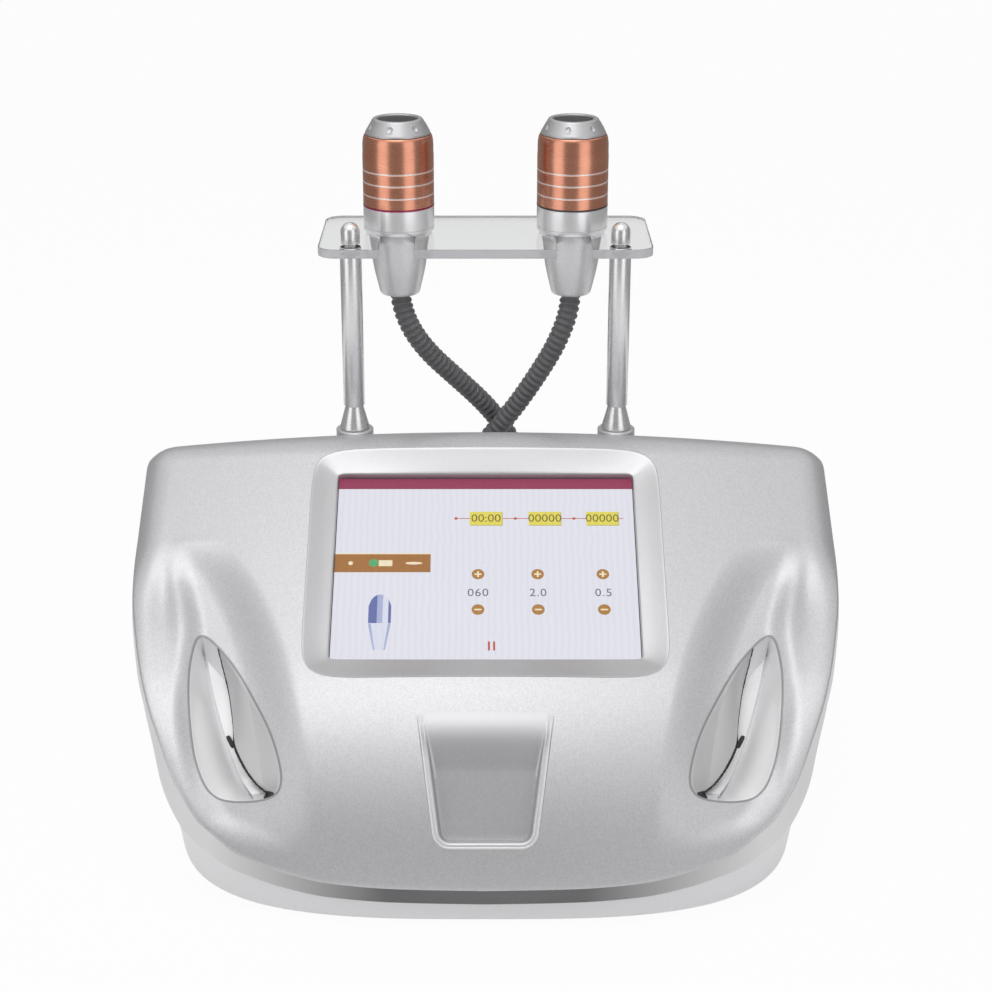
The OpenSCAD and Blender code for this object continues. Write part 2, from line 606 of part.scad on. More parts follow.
module fan_guard() {
  color([0.5, 0.5, 0.52]) at_rear(fan_x, rear_z) {
    for (r = [8:8:24]) rotate_extrude() translate([r, 0]) square([1.6, guard_t]);
    difference() {
      rounded(fan_size, fan_size, 4, guard_t);
      translate([0, 0, -1]) cylinder(r = fan_d / 2 - 0.5, h = 5);
      for (x = [-1, 1], y = [-1, 1]) translate([x * fan_pitch, y * fan_pitch, -1])
        cylinder(r = fan_screw_r + clear, h = 5);
    }
    for (a = [0:90:270]) rotate([0, 0, a]) translate([0, -0.8, 0]) cube([fan_d / 2, 1.6, guard_t]);
  }
}
module fan_screws() {
  low = panel_t + fan_t;
  color([0.6, 0.6, 0.62]) for (x = [-1, 1], z = [-1, 1])
    at_rear(fan_x + x * fan_pitch, rear_z + z * fan_pitch, panel_y - low - 2) rotate_extrude()
      polygon([[0, 0], [fan_screw_r, 0], [fan_screw_r, low + 2 + guard_t], [3.2, low + 2 + guard_t],
        [2.6, low + 4 + guard_t], [0, low + 4 + guard_t]]);
}

flange_t = 2.5;
inlet_in = 26;
rocker_r = 6.4;
rocker_w = 19;
rocker_up = 17.5;
fuse_down = -20;
pivot_in = 3.2;
rocker_tilt = 12;
socket_deep = 16;
pin_l = 11;
module mains_inlet() {
  color([0.12, 0.12, 0.13]) at_rear(inlet_x, rear_z) difference() {
    union() {
      rounded(inlet_w + 6, inlet_h + 6, 3, flange_t);
      translate([0, 0, -inlet_in]) rounded(inlet_w - 0.4, inlet_h - 0.4, 1, inlet_in);
    }
    translate([0, 0, -socket_deep]) rounded(25, 17, 3, 30);
    translate([0, -rocker_up, -7]) rounded(rocker_w + 0.6, 2 * rocker_r + 0.6, 0.5, 30);
    translate([-(rocker_w + 0.6) / 2, -rocker_up, flange_t - pivot_in]) rotate([0, 90, 0])
      cylinder(r = rocker_r + 0.3, h = rocker_w + 0.6);
    translate([0, -fuse_down, -22]) rounded(26, 9, 0.5, 40);
  }
  color([0.8, 0.7, 0.4]) at_rear(inlet_x, rear_z, panel_y - socket_deep)
    for (x = [-7, 0, 7]) translate([x - 1, x == 0 ? -4 : 0.4, 0]) cube([2, 3.6, pin_l]);
}
module rocker_switch() {
  color([0.7, 0.1, 0.08]) at_rear(inlet_x, rear_z + rocker_up, panel_y + flange_t - pivot_in)
    translate([-rocker_w / 2, 0, 0]) rotate([90, 0, 90]) linear_extrude(rocker_w) difference() {
      circle(rocker_r);
      rotate(rocker_tilt) polygon([[0, 3.6], [10, 5], [10, 14], [-10, 14], [-10, 5]]);
    }
}
module fuse_drawer() {
  color([0.15, 0.15, 0.16]) at_rear(inlet_x, rear_z + fuse_down, panel_y - 21.6) {
    rounded(25.6, 8.6, 0.4, 21.6 + flange_t);
    translate([0, 0, 21.6 + flange_t]) rounded(12, 2, 0.5, 1.4);
  }
}

module socket(side) {
  color([0.7, 0.7, 0.72]) at_rear(side * socket_x, socket_z, panel_y - 14) rotate_extrude()
    polygon([[0, 0], [socket_r, 0], [socket_r, 14], [13.5, 14], [13.5, 14 + flange_t], [8.5, 14 + flange_t],
      [8.5, 22.8], [6, 22.8], [6, 16.8], [0, 16.8]]);
}
module left_socket() { socket(-1); }
module right_socket() { socket(1); }
plug_r = 9;
plug_y = panel_y + 9.1;
module hose_plug(side) {
  l = riser_y - plug_y;
  color([0.2, 0.2, 0.21]) {
    at_rear(side * socket_x, socket_z, plug_y - 4) rotate_extrude()
      polygon([[0, 0], [5.8, 0], [5.8, 4], [plug_r, 4], [plug_r, l + 4], [0, l + 4]]);
    translate([side * socket_x, riser_y, socket_z]) sphere(r = plug_r);
    translate([side * socket_x, riser_y, plug_low_z]) cylinder(r1 = 7.6, r2 = plug_r, h = socket_z - plug_low_z);
  }
}
module left_hose_plug() { hose_plug(1); }
module right_hose_plug() { hose_plug(-1); }
nut_l = 11;
module plug_nut(side) {
  color([0.75, 0.75, 0.77]) at_rear(side * socket_x, socket_z, plug_y - 5) difference() {
    cylinder(r = 12, h = nut_l);
    translate([0, 0, -1]) cylinder(r = plug_r + clear / 2, h = nut_l + 2);
    for (a = [0:30:359]) rotate([0, 0, a]) translate([12.6, 0, -1]) cylinder(r = 1.3, h = nut_l + 2, $fn = 16);
  }
}
module left_plug_nut() { plug_nut(1); }
module right_plug_nut() { plug_nut(-1); }

plate_low = rack_z - rack_t;
module post(side) {
  h = plate_low - seat_z;
  color([0.82, 0.82, 0.83]) translate([side * post_gap / 2, post_y, seat_z]) rotate_extrude()
    polygon([[0, -12], [stud_r, -12], [stud_r, 0], [foot_r, 0], [foot_r, 0.8], [foot_neck_r, foot_l],
      [post_r, foot_l], [post_r, h], [stud_r, h], [stud_r, h + rack_t + 7], [0, h + rack_t + 7]]);
}
module left_post() { post(-1); }
module right_post() { post(1); }
nut_r = 5.3;
nut_h = 12;
module dome_nuts() {
  color([0.82, 0.82, 0.83]) for (x = [-1, 1]) translate([x * post_gap / 2, post_y, rack_z]) difference() {
    union() {
      cylinder(r = nut_r, h = nut_h - nut_r);
      translate([0, 0, nut_h - nut_r]) sphere(r = nut_r);
    }
    translate([0, 0, -1]) cylinder(r = stud_r + clear / 2, h = 9);
  }
}
rack_front = post_y - 14;
module rack_plate() {
  color([0.9, 0.93, 0.95, 0.5]) translate([0, 0, plate_low]) linear_extrude(rack_t) difference() {
    translate([0, rack_front + rack_d / 2]) hull_square(rack_w, rack_d, 10);
    for (x = [-1, 1]) {
      translate([x * hand_x, hand_y]) circle(nest_r);
      translate([x * hand_x - slot_w / 2, rack_front - 1]) square([slot_w, hand_y - rack_front]);
      translate([x * post_gap / 2, post_y]) circle(stud_r + clear);
    }
  }
}

// Handpieces stand on the rack plate; heights below are above its top face
module at_hand(side, h = 0) {
  translate([side * hand_x, hand_y, rack_z + h]) children();
}
inner_r = hand_r - 2.8;
entry_d = 11;
entry_r = hose_r + skin_gap;
module hand_tail(side) {
  color([0.75, 0.75, 0.76]) at_hand(side) rotate_extrude() polygon([[0, entry_d - tail_l],
    [entry_r, entry_d - tail_l], [entry_r, -tail_l], [9.8, -tail_l], [10.9, -tail_l + 0.6],
    [11.6, -tail_l + 2], [14.6, -tail_l + 15], [16.6, -tail_l + 28], [17.3, -rack_t + 0.6], [17.3, 0], [0, 0]]);
}
module hand_collar(side) {
  color([0.8, 0.8, 0.81]) at_hand(side) rotate_extrude() polygon([[0, 0], [hand_r - 0.8, 0], [hand_r, 1.2],
    [hand_r, collar_l], [inner_r, collar_l], [inner_r, 2], [0, 2]]);
}
module hand_accent(side) {
  color(side < 0 ? [0.75, 0.15, 0.4] : [0.25, 0.25, 0.27]) at_hand(side, collar_l) rotate_extrude()
    translate([inner_r, 0]) square([hand_r + 0.1 - inner_r, accent_t]);
}
sleeve_low = collar_l + accent_t;
neck_r = 18.3;
LINES = [21.7, 28.7, 35.3];
line_h = 0.85;
line_d = 0.25;
module hand_sleeve(side) {
  curve = [for (t = [0:15:90]) [neck_r + (hand_r - neck_r) * cos(t), sleeve_top - 7 + 7 * sin(t)]];
  rings = [for (z = LINES) each [[hand_r, z - line_h / 2], [hand_r - line_d, z - line_h / 2],
    [hand_r - line_d, z + line_h / 2], [hand_r, z + line_h / 2]]];
  color([0.8, 0.5, 0.38]) at_hand(side) rotate_extrude()
    polygon(concat([[inner_r, sleeve_low], [hand_r, sleeve_low]], rings, curve, [[15.6, sleeve_top],
      [15.6, sleeve_top - 8], [inner_r, sleeve_top - 8]]));
}
motor_r = 14;
motor_h = 34;
module hand_motor(side) {
  color([0.6, 0.6, 0.62]) at_hand(side, 2) {
    cylinder(r = motor_r, h = motor_h);
    cylinder(r = 2, h = motor_h + 12);
  }
}
window_r = 11.3;
module hand_grip_ring(side) {
  h = grip_h;
  color([0.84, 0.84, 0.85]) at_hand(side, sleeve_top) difference() {
    rotate_extrude() polygon([[11.2, -6], [15.5, -6], [15.5, clear], [neck_r, clear], [neck_r - 0.2, 1.2],
      [14.2, h - 0.8], [13.2, h], [window_r + clear, h], [window_r + clear, h - 3], [10.2, h - 3],
      [10.2, h - 4.2], [11.2, h - 4.2]]);
    for (k = [0:dimples - 1]) rotate([0, 0, k * 360 / dimples]) translate([neck_r + 2.4, 0, h / 2 + 3.1])
      sphere(r = 5.4);
  }
}
module hand_window(side) {
  color([0.06, 0.06, 0.08]) at_hand(side, sleeve_top + grip_h - 3) rotate_extrude()
    polygon([[0, 0], [window_r, 0], [window_r, 1.8], [window_r - 0.7, 2.3], [0, 2.3]]);
}
module hand_transducer(side) {
  color([0.75, 0.65, 0.35]) at_hand(side, sleeve_top - 13) {
    difference() {
      union() {
        cylinder(r = 4.5, h = 7);
        translate([0, 0, 6]) cylinder(r = 10.6, h = 8);
      }
      translate([0, 0, -1]) cylinder(r = 2 + clear / 2, h = 8);
      translate([4, 0, 22]) sphere(r = 10);
    }
  }
}
module left_hand_tail() { hand_tail(-1); }
module right_hand_tail() { hand_tail(1); }
module left_hand_collar() { hand_collar(-1); }
module right_hand_collar() { hand_collar(1); }
module left_hand_accent() { hand_accent(-1); }
module right_hand_accent() { hand_accent(1); }
module left_hand_sleeve() { hand_sleeve(-1); }
module right_hand_sleeve() { hand_sleeve(1); }
module left_hand_motor() { hand_motor(-1); }
module right_hand_motor() { hand_motor(1); }
module left_grip_ring() { hand_grip_ring(-1); }
module right_grip_ring() { hand_grip_ring(1); }
module left_hand_window() { hand_window(-1); }
module right_hand_window() { hand_window(1); }
module left_transducer() { hand_transducer(-1); }
module right_transducer() { hand_transducer(1); }

// Hoses. Each leaves its handpiece, crosses behind the crest, hangs down the back, turns onto
// the table, lies in a coil of two layers and rises to its plug.
LEFT_ROUTE = [[-49, 113, 270.7], [-49, 113, 258.7], [-46.6, 113.8, 247], [-42.2, 116.2, 236.1],
  [-36.4, 119.8, 226.2], [-29.8, 124, 217.1], [-22.6, 128.6, 208.7], [-15.4, 133.2, 200.3], [-8.2, 137.8, 191.9],
  [-1.2, 142.2, 183.3], [5.4, 146.2, 174.1], [11.4, 149.4, 164.2], [16.6, 151.8, 153.7], [20.6, 153.4, 142.6],
  [23.4, 154.4, 131], [25.2, 154.8, 119.1], [26, 155.2, 107.1], [26, 155.8, 95.1], [26, 156.4, 83.1]];
RIGHT_ROUTE = [[49, 113, 270.7], [49, 113, 258.7], [47.4, 113.4, 246.8], [43.8, 114.8, 235.5],
  [39.4, 117.2, 224.6], [34.2, 120.2, 214.2], [28.6, 123.2, 204], [22.8, 126.2, 193.9], [16.6, 129, 184],
  [10, 131.8, 174.4], [3.2, 134.6, 164.9], [-3.6, 137.4, 155.4], [-10, 140.4, 145.6], [-15.8, 143.4, 135.5],
  [-20.4, 146.4, 124.8], [-23.8, 149.2, 113.6], [-25.6, 151.6, 102], [-26, 153.4, 90.1], [-26, 155, 78.2]];
LEFT_DROP = [[26, 156.4, 83.1], [26, 157, 71.1], [26.4, 157.6, 55], [29.8, 158, 36.9], [40.6, 158, 20.6],
  [56.9, 158, 9.8], [76, 158, 6], [94, 158, 6], [106, 158, 6]];
RIGHT_DROP = [[-26, 155, 78.2], [-26, 156.6, 66.3], [-26.4, 157.6, 53], [-29.8, 158, 36.9], [-40.6, 158, 20.6],
  [-56.9, 158, 9.8], [-76, 158, 6], [-94, 158, 6], [-106, 158, 6]];
coil_x = 118;
coil_turns = 2.75;
coil_r = coil_mid_r + coil_step * coil_turns / 4;
coil_y = 158 + coil_r;
coil_z = 6;
straight = 2 * hose_r;
function coil_at(side, t) =
  let (half = coil_turns / 2, r = coil_r - coil_step * (half - abs(half - t)), a = -90 + 360 * t,
       z = coil_z + coil_step * smooth((t - half + 0.25) / 0.5))
  [side * (coil_x + r * cos(a)), coil_y + r * sin(a), z];
function coil_route(side) = concat([[side * (coil_x - straight), coil_at(side, 0)[1], coil_z]],
  [for (k = [0:coil_turns * 24]) coil_at(side, k / 24)],
  [coil_at(side, coil_turns) - [0, straight, 0]]);
riser_r = 50;
riser_end = coil_at(1, coil_turns);
riser_x = riser_end[0];
riser_y = riser_end[1] - 2 * straight - riser_r;
plug_low_z = riser_end[2] + riser_r + straight;
function riser_route(side) = concat([[side * riser_x, riser_end[1] - straight, riser_end[2]]],
  [for (a = [0:15:90]) [side * riser_x, riser_y + riser_r - riser_r * sin(a), riser_end[2] + riser_r - riser_r * cos(a)]],
  [[side * riser_x, riser_y, plug_low_z]]);

function tangent(p, i) = let (n = len(p) - 1) unit(p[min(i + 1, n)] - p[max(i - 1, 0)]);
function sides_of(p) =
  let (n = len(p), first = unit(cross(tangent(p, 0), abs(tangent(p, 0)[2]) > 0.9 ? [0, 1, 0] : [0, 0, 1])))
  [for (i = 0, v = first; i < n; i = i + 1, v = i < n ? unit(v - tangent(p, i) * (v * tangent(p, i))) : v) v];
function tube_ring(c, v, t, r, n) =
  let (w = cross(t, v)) [for (k = [0:n - 1]) c + r * (cos(360 * k / n) * v + sin(360 * k / n) * w)];
function tube_rings(p, radii, n) =
  let (v = sides_of(p)) [for (i = [0:len(p) - 1]) tube_ring(p[i], v[i], tangent(p, i), radii[i], n)];
module plain_tube(p, n) {
  lofted(tube_rings(p, [for (q = p) hose_r], n));
}
// Ribbed hose with its bore: two rings to a rib, then the bore's rings back to the first end
module ribbed_tube(p) {
  fine = open_curve(p, 2 * ribs_per_step);
  n = len(fine) - 1;
  outer = tube_rings(fine, [for (i = [0:n]) i < 2 || i > n - 2 || i % 2 == 0 ? hose_r : groove_r], 8);
  coarse = open_curve(p, 1);
  inner = tube_rings(coarse, [for (q = coarse) bore_r], 8);
  ring_solid(concat(outer, [for (i = [len(inner) - 1:-1:0]) inner[i]]));
}
module left_hose_upper() { color([0.42, 0.42, 0.44]) ribbed_tube(LEFT_ROUTE); }
module right_hose_upper() { color([0.42, 0.42, 0.44]) ribbed_tube(RIGHT_ROUTE); }
module left_hose_drop() { color([0.42, 0.42, 0.44]) plain_tube(LEFT_DROP, 8); }
module right_hose_drop() { color([0.42, 0.42, 0.44]) plain_tube(RIGHT_DROP, 8); }
module left_hose_coil() { color([0.42, 0.42, 0.44]) plain_tube(coil_route(1), 6); }
module right_hose_coil() { color([0.42, 0.42, 0.44]) plain_tube(coil_route(-1), 6); }
module left_hose_riser() { color([0.42, 0.42, 0.44]) plain_tube(riser_route(1), 8); }
module right_hose_riser() { color([0.42, 0.42, 0.44]) plain_tube(riser_route(-1), 8); }

function run_len(p) = len(p) < 2 ? 0 : [for (i = [1:len(p) - 1]) norm(p[i] - p[i - 1])] * [for (i = [1:len(p) - 1]) 1];
coil_pts = coil_route(1);
far_pairs = [for (i = [0:len(coil_pts) - 1]) for (j = [i + 12:1:len(coil_pts) - 1]) norm(coil_pts[i] - coil_pts[j])];
echo(coil_gap = min(far_pairs) - 2 * hose_r);
echo(left_hose_length = run_len(open_curve(LEFT_ROUTE, 4)) + run_len(open_curve(LEFT_DROP, 4))
  + run_len(coil_pts) + run_len(riser_route(1)));
echo(right_hose_length = run_len(open_curve(RIGHT_ROUTE, 4)) + run_len(open_curve(RIGHT_DROP, 4))
  + run_len(coil_pts) + run_len(riser_route(1)));

front_shell();
rear_cover();
base_tub();
screen_bezel();
touch_glass();
lcd_panel();
lcd_bracket();
left_holster();
right_holster();
centre_tray();
chassis_plate();
rubber_feet();
case_screws();
power_supply();
main_board();
left_driver_board();
right_driver_board();
board_standoffs();
rear_panel();
fan_frame();
fan_impeller();
fan_guard();
fan_screws();
mains_inlet();
rocker_switch();
fuse_drawer();
left_socket();
right_socket();
left_hose_plug();
right_hose_plug();
left_plug_nut();
right_plug_nut();
left_post();
right_post();
dome_nuts();
rack_plate();
left_hand_tail();
right_hand_tail();
left_hand_collar();
right_hand_collar();
left_hand_accent();
right_hand_accent();
left_hand_sleeve();
right_hand_sleeve();
left_hand_motor();
right_hand_motor();
left_grip_ring();
right_grip_ring();
left_hand_window();
right_hand_window();
left_transducer();
right_transducer();
left_hose_upper();
right_hose_upper();
left_hose_drop();
right_hose_drop();
left_hose_coil();
right_hose_coil();
left_hose_riser();
right_hose_riser();
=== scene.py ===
import json
import math
import bmesh
import bpy
import numpy as np
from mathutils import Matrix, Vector

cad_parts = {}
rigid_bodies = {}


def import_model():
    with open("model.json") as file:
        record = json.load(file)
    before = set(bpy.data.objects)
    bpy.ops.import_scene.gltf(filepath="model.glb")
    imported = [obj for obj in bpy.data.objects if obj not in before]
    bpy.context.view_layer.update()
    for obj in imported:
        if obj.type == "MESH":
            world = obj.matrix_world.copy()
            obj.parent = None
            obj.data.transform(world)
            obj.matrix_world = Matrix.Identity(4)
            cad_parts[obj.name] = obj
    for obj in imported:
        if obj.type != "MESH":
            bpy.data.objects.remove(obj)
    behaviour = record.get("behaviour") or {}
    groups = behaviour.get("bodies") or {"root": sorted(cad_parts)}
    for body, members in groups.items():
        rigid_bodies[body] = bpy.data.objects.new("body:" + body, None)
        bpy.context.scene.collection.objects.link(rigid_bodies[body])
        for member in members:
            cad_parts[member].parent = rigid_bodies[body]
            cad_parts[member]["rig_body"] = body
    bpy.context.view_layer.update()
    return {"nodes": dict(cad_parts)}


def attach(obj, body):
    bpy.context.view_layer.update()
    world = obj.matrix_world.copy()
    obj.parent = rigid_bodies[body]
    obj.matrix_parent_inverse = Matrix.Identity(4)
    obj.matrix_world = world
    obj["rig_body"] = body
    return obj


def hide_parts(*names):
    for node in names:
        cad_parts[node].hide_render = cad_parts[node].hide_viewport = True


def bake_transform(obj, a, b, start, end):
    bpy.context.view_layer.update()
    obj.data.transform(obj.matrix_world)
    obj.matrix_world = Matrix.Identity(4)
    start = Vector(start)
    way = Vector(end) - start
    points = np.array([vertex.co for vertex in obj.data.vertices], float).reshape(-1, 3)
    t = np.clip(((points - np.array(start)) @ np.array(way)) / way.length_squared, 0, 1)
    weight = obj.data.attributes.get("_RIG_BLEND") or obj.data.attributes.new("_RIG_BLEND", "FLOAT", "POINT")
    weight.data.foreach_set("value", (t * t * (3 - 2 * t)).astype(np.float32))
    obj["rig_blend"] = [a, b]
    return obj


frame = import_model()
nodes = frame["nodes"]
scene = bpy.context.scene
mm = 0.001
fullTurn = 2 * math.pi
print("frame loaded with", len(nodes), "nodes")

# Camera: fitted to the four corners of the screen, in an image of 992 by 992
cameraView = {"place": (0, -1.0254, 0.5827), "pitch": 21.5, "focalPixels": 2050, "imagePixels": 992,
              "middlePixel": 485.5, "sensor": 36, "clipStart": 0.01}


def addObject(name, data):
    thing = bpy.data.objects.new(name, data)
    scene.collection.objects.link(thing)
    return thing


def addCamera(c):
    data = bpy.data.cameras.new("photoCamera")
    data.sensor_width = c["sensor"]
    data.lens = c["sensor"] * c["focalPixels"] / c["imagePixels"]
    data.shift_x = (c["imagePixels"] / 2 - c["middlePixel"]) / c["imagePixels"]
    data.clip_start = c["clipStart"]
    scene.camera = addObject("photoCamera", data)
    scene.camera.location = c["place"]
    scene.camera.rotation_euler = (math.radians(90 - c["pitch"]), 0, 0)


addCamera(cameraView)


# Sets a shader node's own properties, and its sockets by name or number. A socket takes a number, a colour
# or another node's output.
def setNode(tree, node, values):
    for key, value in values.items():
        if isinstance(key, str) and hasattr(node, key):
            setattr(node, key, value)
            continue
        socket = node.inputs[key]
        if isinstance(value, bpy.types.NodeSocket):
            tree.links.new(value, socket)
        else:
            socket.default_value = (*value, 1) if socket.type == "RGBA" and len(value) == 3 else value


# A new node with its settings; gives the output asked for
def nodeOf(tree, kind, values, output=0):
    node = tree.nodes.new("ShaderNode" + kind)
    setNode(tree, node, values)
    return node.outputs[output]


def ranged(tree, source, low, high, fromLow=0.3, fromHigh=0.7):
    return nodeOf(tree, "MapRange", {"Value": source, "From Min": fromLow, "From Max": fromHigh,
                                     "To Min": low, "To Max": high}, "Result")


def mixed(tree, factor, first, second, way="MIX"):
    return nodeOf(tree, "Mix", {"data_type": "RGBA", "blend_type": way, 0: factor, 6: first, 7: second}, 2)


def noiseOn(tree, where, scale, detail):
    return nodeOf(tree, "TexNoise", {"Vector": where, "Scale": scale, "Detail": detail, "Roughness": 0.5}, "Fac")


def objectPlace(tree):
    return nodeOf(tree, "TexCoord", {}, "Object")


def newMaterial(name):
    mat = bpy.data.materials.new(name)
    mat.use_nodes = True
    return mat, mat.node_tree, mat.node_tree.nodes["Principled BSDF"]


# Two colours blended by broad patches, and a finer grain in roughness and bump. Flakes lighten and darken
# single grains, wear makes edges paler, and pale turns the colour paler between two distances along an axis.
def finish(name, first, change, rough, metal, patch, grain, depth, flakes=0, wear=0, stretch=None, pale=None,
           sockets=None):
    mat, tree, shader = newMaterial(name)
    place = objectPlace(tree)
    if stretch:
        place = nodeOf(tree, "Mapping", {"Vector": place, "Scale": stretch})
    second = np.add(first, change).tolist()
    colour = mixed(tree, ranged(tree, noiseOn(tree, place, patch, 3), 0, 1), first, second)
    fine = noiseOn(tree, place, grain, 2)
    if flakes:
        spark = nodeOf(tree, "TexVoronoi", {"Vector": place, "Scale": grain * 1.3}, "Color")
        colour = mixed(tree, 1.0, colour, ranged(tree, spark, 1 - flakes, 1 + flakes, 0, 1), "MULTIPLY")
    if wear:
        edge = ranged(tree, nodeOf(tree, "NewGeometry", {}, "Pointiness"), 0, wear, 0.52, 0.6)
        colour = mixed(tree, edge, colour, [min(1, c * 1.35 + 0.04) for c in first])
    if pale:
        paleColour, axis, fromPlace, toPlace = pale
        along = nodeOf(tree, "SeparateXYZ", {0: objectPlace(tree)}, axis)
        away = nodeOf(tree, "Math", {"operation": "ABSOLUTE", 0: along})
        colour = mixed(tree, ranged(tree, away, 0, 1, fromPlace, toPlace), colour, paleColour)
    bump = nodeOf(tree, "Bump", {"Height": fine, "Strength": 1, "Distance": depth * 1e-6})
    setNode(tree, shader, {"Base Color": colour, "Roughness": ranged(tree, fine, *rough), "Normal": bump,
                           "Metallic": metal, "Coat Roughness": 0.12, **(sockets or {})})
    return mat


# Colour, change to the second colour, roughness, metal, scale of patches, scale of grain, depth of grain in
# micrometres, and what else the finish has
gloss, aroundHead = {"Coat Weight": 0.1}, (0.6, 0.6, 8)
finishTable = {
    "silverPaint": ((0.56, 0.555, 0.57), -0.02, (0.4, 0.48), 0.55, 6, 1300, 20,
                    {"flakes": 0.1, "sockets": {"Coat Weight": 0.12}}),
    "coverPaint": ((0.55, 0.55, 0.565), -0.02, (0.36, 0.44), 0.5, 6, 2200, 20,
                   {"flakes": 0.1, "sockets": {"Coat Weight": 0.2}}),
    # The band's colour is painted shade and reflection: dark in the middle, paler towards the sides by |x|
    "bandPaint": ((0.13, 0.13, 0.135), 0.02, (0.45, 0.55), 0.3, 14, 1300, 20,
                  {"flakes": 0.08, "pale": ((0.8, 0.8, 0.81), "X", 0.05, 0.14)}),
    "tubPaint": ((0.9, 0.9, 0.915), -0.02, (0.4, 0.5), 0.1, 7, 1500, 20, {"flakes": 0.03}),
    "bezelPaint": ((0.5, 0.5, 0.51), -0.02, (0.3, 0.38), 0.6, 12, 2200, 20,
                   {"flakes": 0.06, "sockets": {"Coat Weight": 0.2}}),
    # The tray floor's darker colour is painted shade in the recess, turning to the skin's colour towards its top
    "trayPaint": ((0.5, 0.495, 0.51), -0.02, (0.36, 0.44), 0.55, 15, 1300, 20,
                  {"flakes": 0.08, "pale": ((0.56, 0.555, 0.57), "Z", 0.076, 0.098)}),
    # The bead's pale colour is a painted highlight along its rounded top, fading to the skin's tone towards the tray's
    # top
    "beadPaint": ((0.82, 0.815, 0.825), -0.02, (0.3, 0.34), 0.3, 15, 1300, 1,
                  {"pale": ((0.55, 0.545, 0.56), "Z", 0.083, 0.097)}),
    "seamGrey": ((0.36, 0.36, 0.37), -0.04, (0.4, 0.5), 0.3, 15, 1300, 4, {}),
    "ringSilver": ((0.5, 0.495, 0.505), -0.03, (0.38, 0.44), 0.7, 12, 300, 2, {"stretch": aroundHead}),
    "pocketGloss": ((0.93, 0.93, 0.94), -0.02, (0.3, 0.36), 0.1, 20, 1200, 3, {"sockets": gloss}),
    "tongueGloss": ((0.6, 0.595, 0.605), -0.03, (0.34, 0.4), 0.3, 20, 1200, 3, {"sockets": gloss}),
    # Black rubber for the feet; the same black is painted shade in the holster pockets
    "blackRubber": ((0.018, 0.018, 0.02), 0.012, (0.6, 0.75), 0, 40, 700, 60, {}),
    "blackPlastic": ((0.022, 0.022, 0.024), 0.013, (0.42, 0.55), 0, 30, 1400, 40, {"wear": 0.5}),
    "steel": ((0.55, 0.56, 0.57), -0.07, (0.28, 0.4), 0.95, 30, 600, 10, {"wear": 0.4}),
    "sheetMetal": ((0.5, 0.51, 0.52), -0.06, (0.32, 0.5), 0.85, 18, 160, 10, {"stretch": (1, 1, 12)}),
    "panelPaint": ((0.47, 0.47, 0.48), -0.03, (0.5, 0.6), 0.2, 16, 1300, 80, {}),
    "postMetal": ((0.74, 0.735, 0.745), -0.03, (0.24, 0.29), 0.8, 20, 700, 2, {"stretch": (1, 1, 0.08)}),
    "tailSilver": ((0.72, 0.72, 0.73), -0.03, (0.32, 0.38), 0.5, 20, 1300, 6, {"flakes": 0.07}),
    "collarSilver": ((0.85, 0.845, 0.855), -0.02, (0.3, 0.34), 0.7, 12, 300, 1, {"stretch": aroundHead}),
    "copperMetal": ((0.66, 0.3, 0.2), (-0.06, -0.04, -0.03), (0.24, 0.29), 0.95, 12, 300, 2,
                    {"stretch": (0.6, 0.6, 10)}),
    "accentPink": ((0.42, 0.02, 0.12), (-0.06, -0.005, -0.02), (0.3, 0.4), 0.4, 40, 900, 30, {}),
    "accentGrey": ((0.06, 0.06, 0.07), 0.02, (0.3, 0.4), 0.4, 40, 900, 30, {}),
    "lineWhite": ((0.9, 0.8, 0.76), -0.06, (0.25, 0.35), 0.6, 40, 700, 30, {}),
    "darkWindow": ((0.022, 0.022, 0.024), 0.012, (0.3, 0.4), 0, 60, 800, 5,
                   {"sockets": {"Specular IOR Level": 0.25}}),
    "hoseRubber": ((0.125, 0.122, 0.128), 0.03, (0.42, 0.55), 0, 60, 1100, 30, {"wear": 0.5}),
    "boardGreen": ((0.02, 0.13, 0.05), (-0.005, -0.03, -0.01), (0.35, 0.5), 0, 120, 500, 30, {}),
    "boardBlue": ((0.02, 0.07, 0.16), (-0.005, -0.015, -0.03), (0.35, 0.5), 0, 120, 500, 30, {}),
    "brass": ((0.7, 0.5, 0.2), (-0.08, -0.07, -0.04), (0.25, 0.38), 0.95, 60, 700, 30, {"wear": 0.3}),
    "redPlastic": ((0.42, 0.02, 0.015), (-0.06, -0.005, -0.003), (0.3, 0.42), 0, 50, 1200, 30, {}),
    "acrylicEdge": ((0.74, 0.73, 0.76), -0.011, (0.02, 0.05), 0, 20, 60, 10,
                    {"sockets": {"Transmission Weight": 0.3, "IOR": 1.3}}),
    "acrylic": ((0.87, 0.875, 0.88), -0.013, (0.02, 0.05), 0, 20, 60, 10,
                {"sockets": {"Transmission Weight": 1, "IOR": 1.22}}),
    "screenGlass": ((0.75, 0.77, 0.8), -0.03, (0.05, 0.09), 0, 10, 300, 4, {"sockets": {"Alpha": 0.045}})}
paints = {name: finish(name, *row[:-1], **row[-1]) for name, row in finishTable.items()}
print("materials made")


# From 0 to 1 with a gentle start and end: 3 t^2 - 2 t^3
def smoothStep(t):
    t = np.clip(t, 0, 1)
    return t * t * (3 - 2 * t)


# Faces of a grid of points, row by row, closed round the columns or from the last row to the first if asked
def gridFaces(rows, columns, ring=False, closed=False):
    j, i = np.meshgrid(np.arange(rows - 1 + closed), np.arange(columns - 1 + ring), indexing="ij")
    down, on = (j + 1) % rows * columns, (i + 1) % columns
    return np.stack([j * columns + i, j * columns + on, down + on, down + i], -1).reshape(-1, 4)


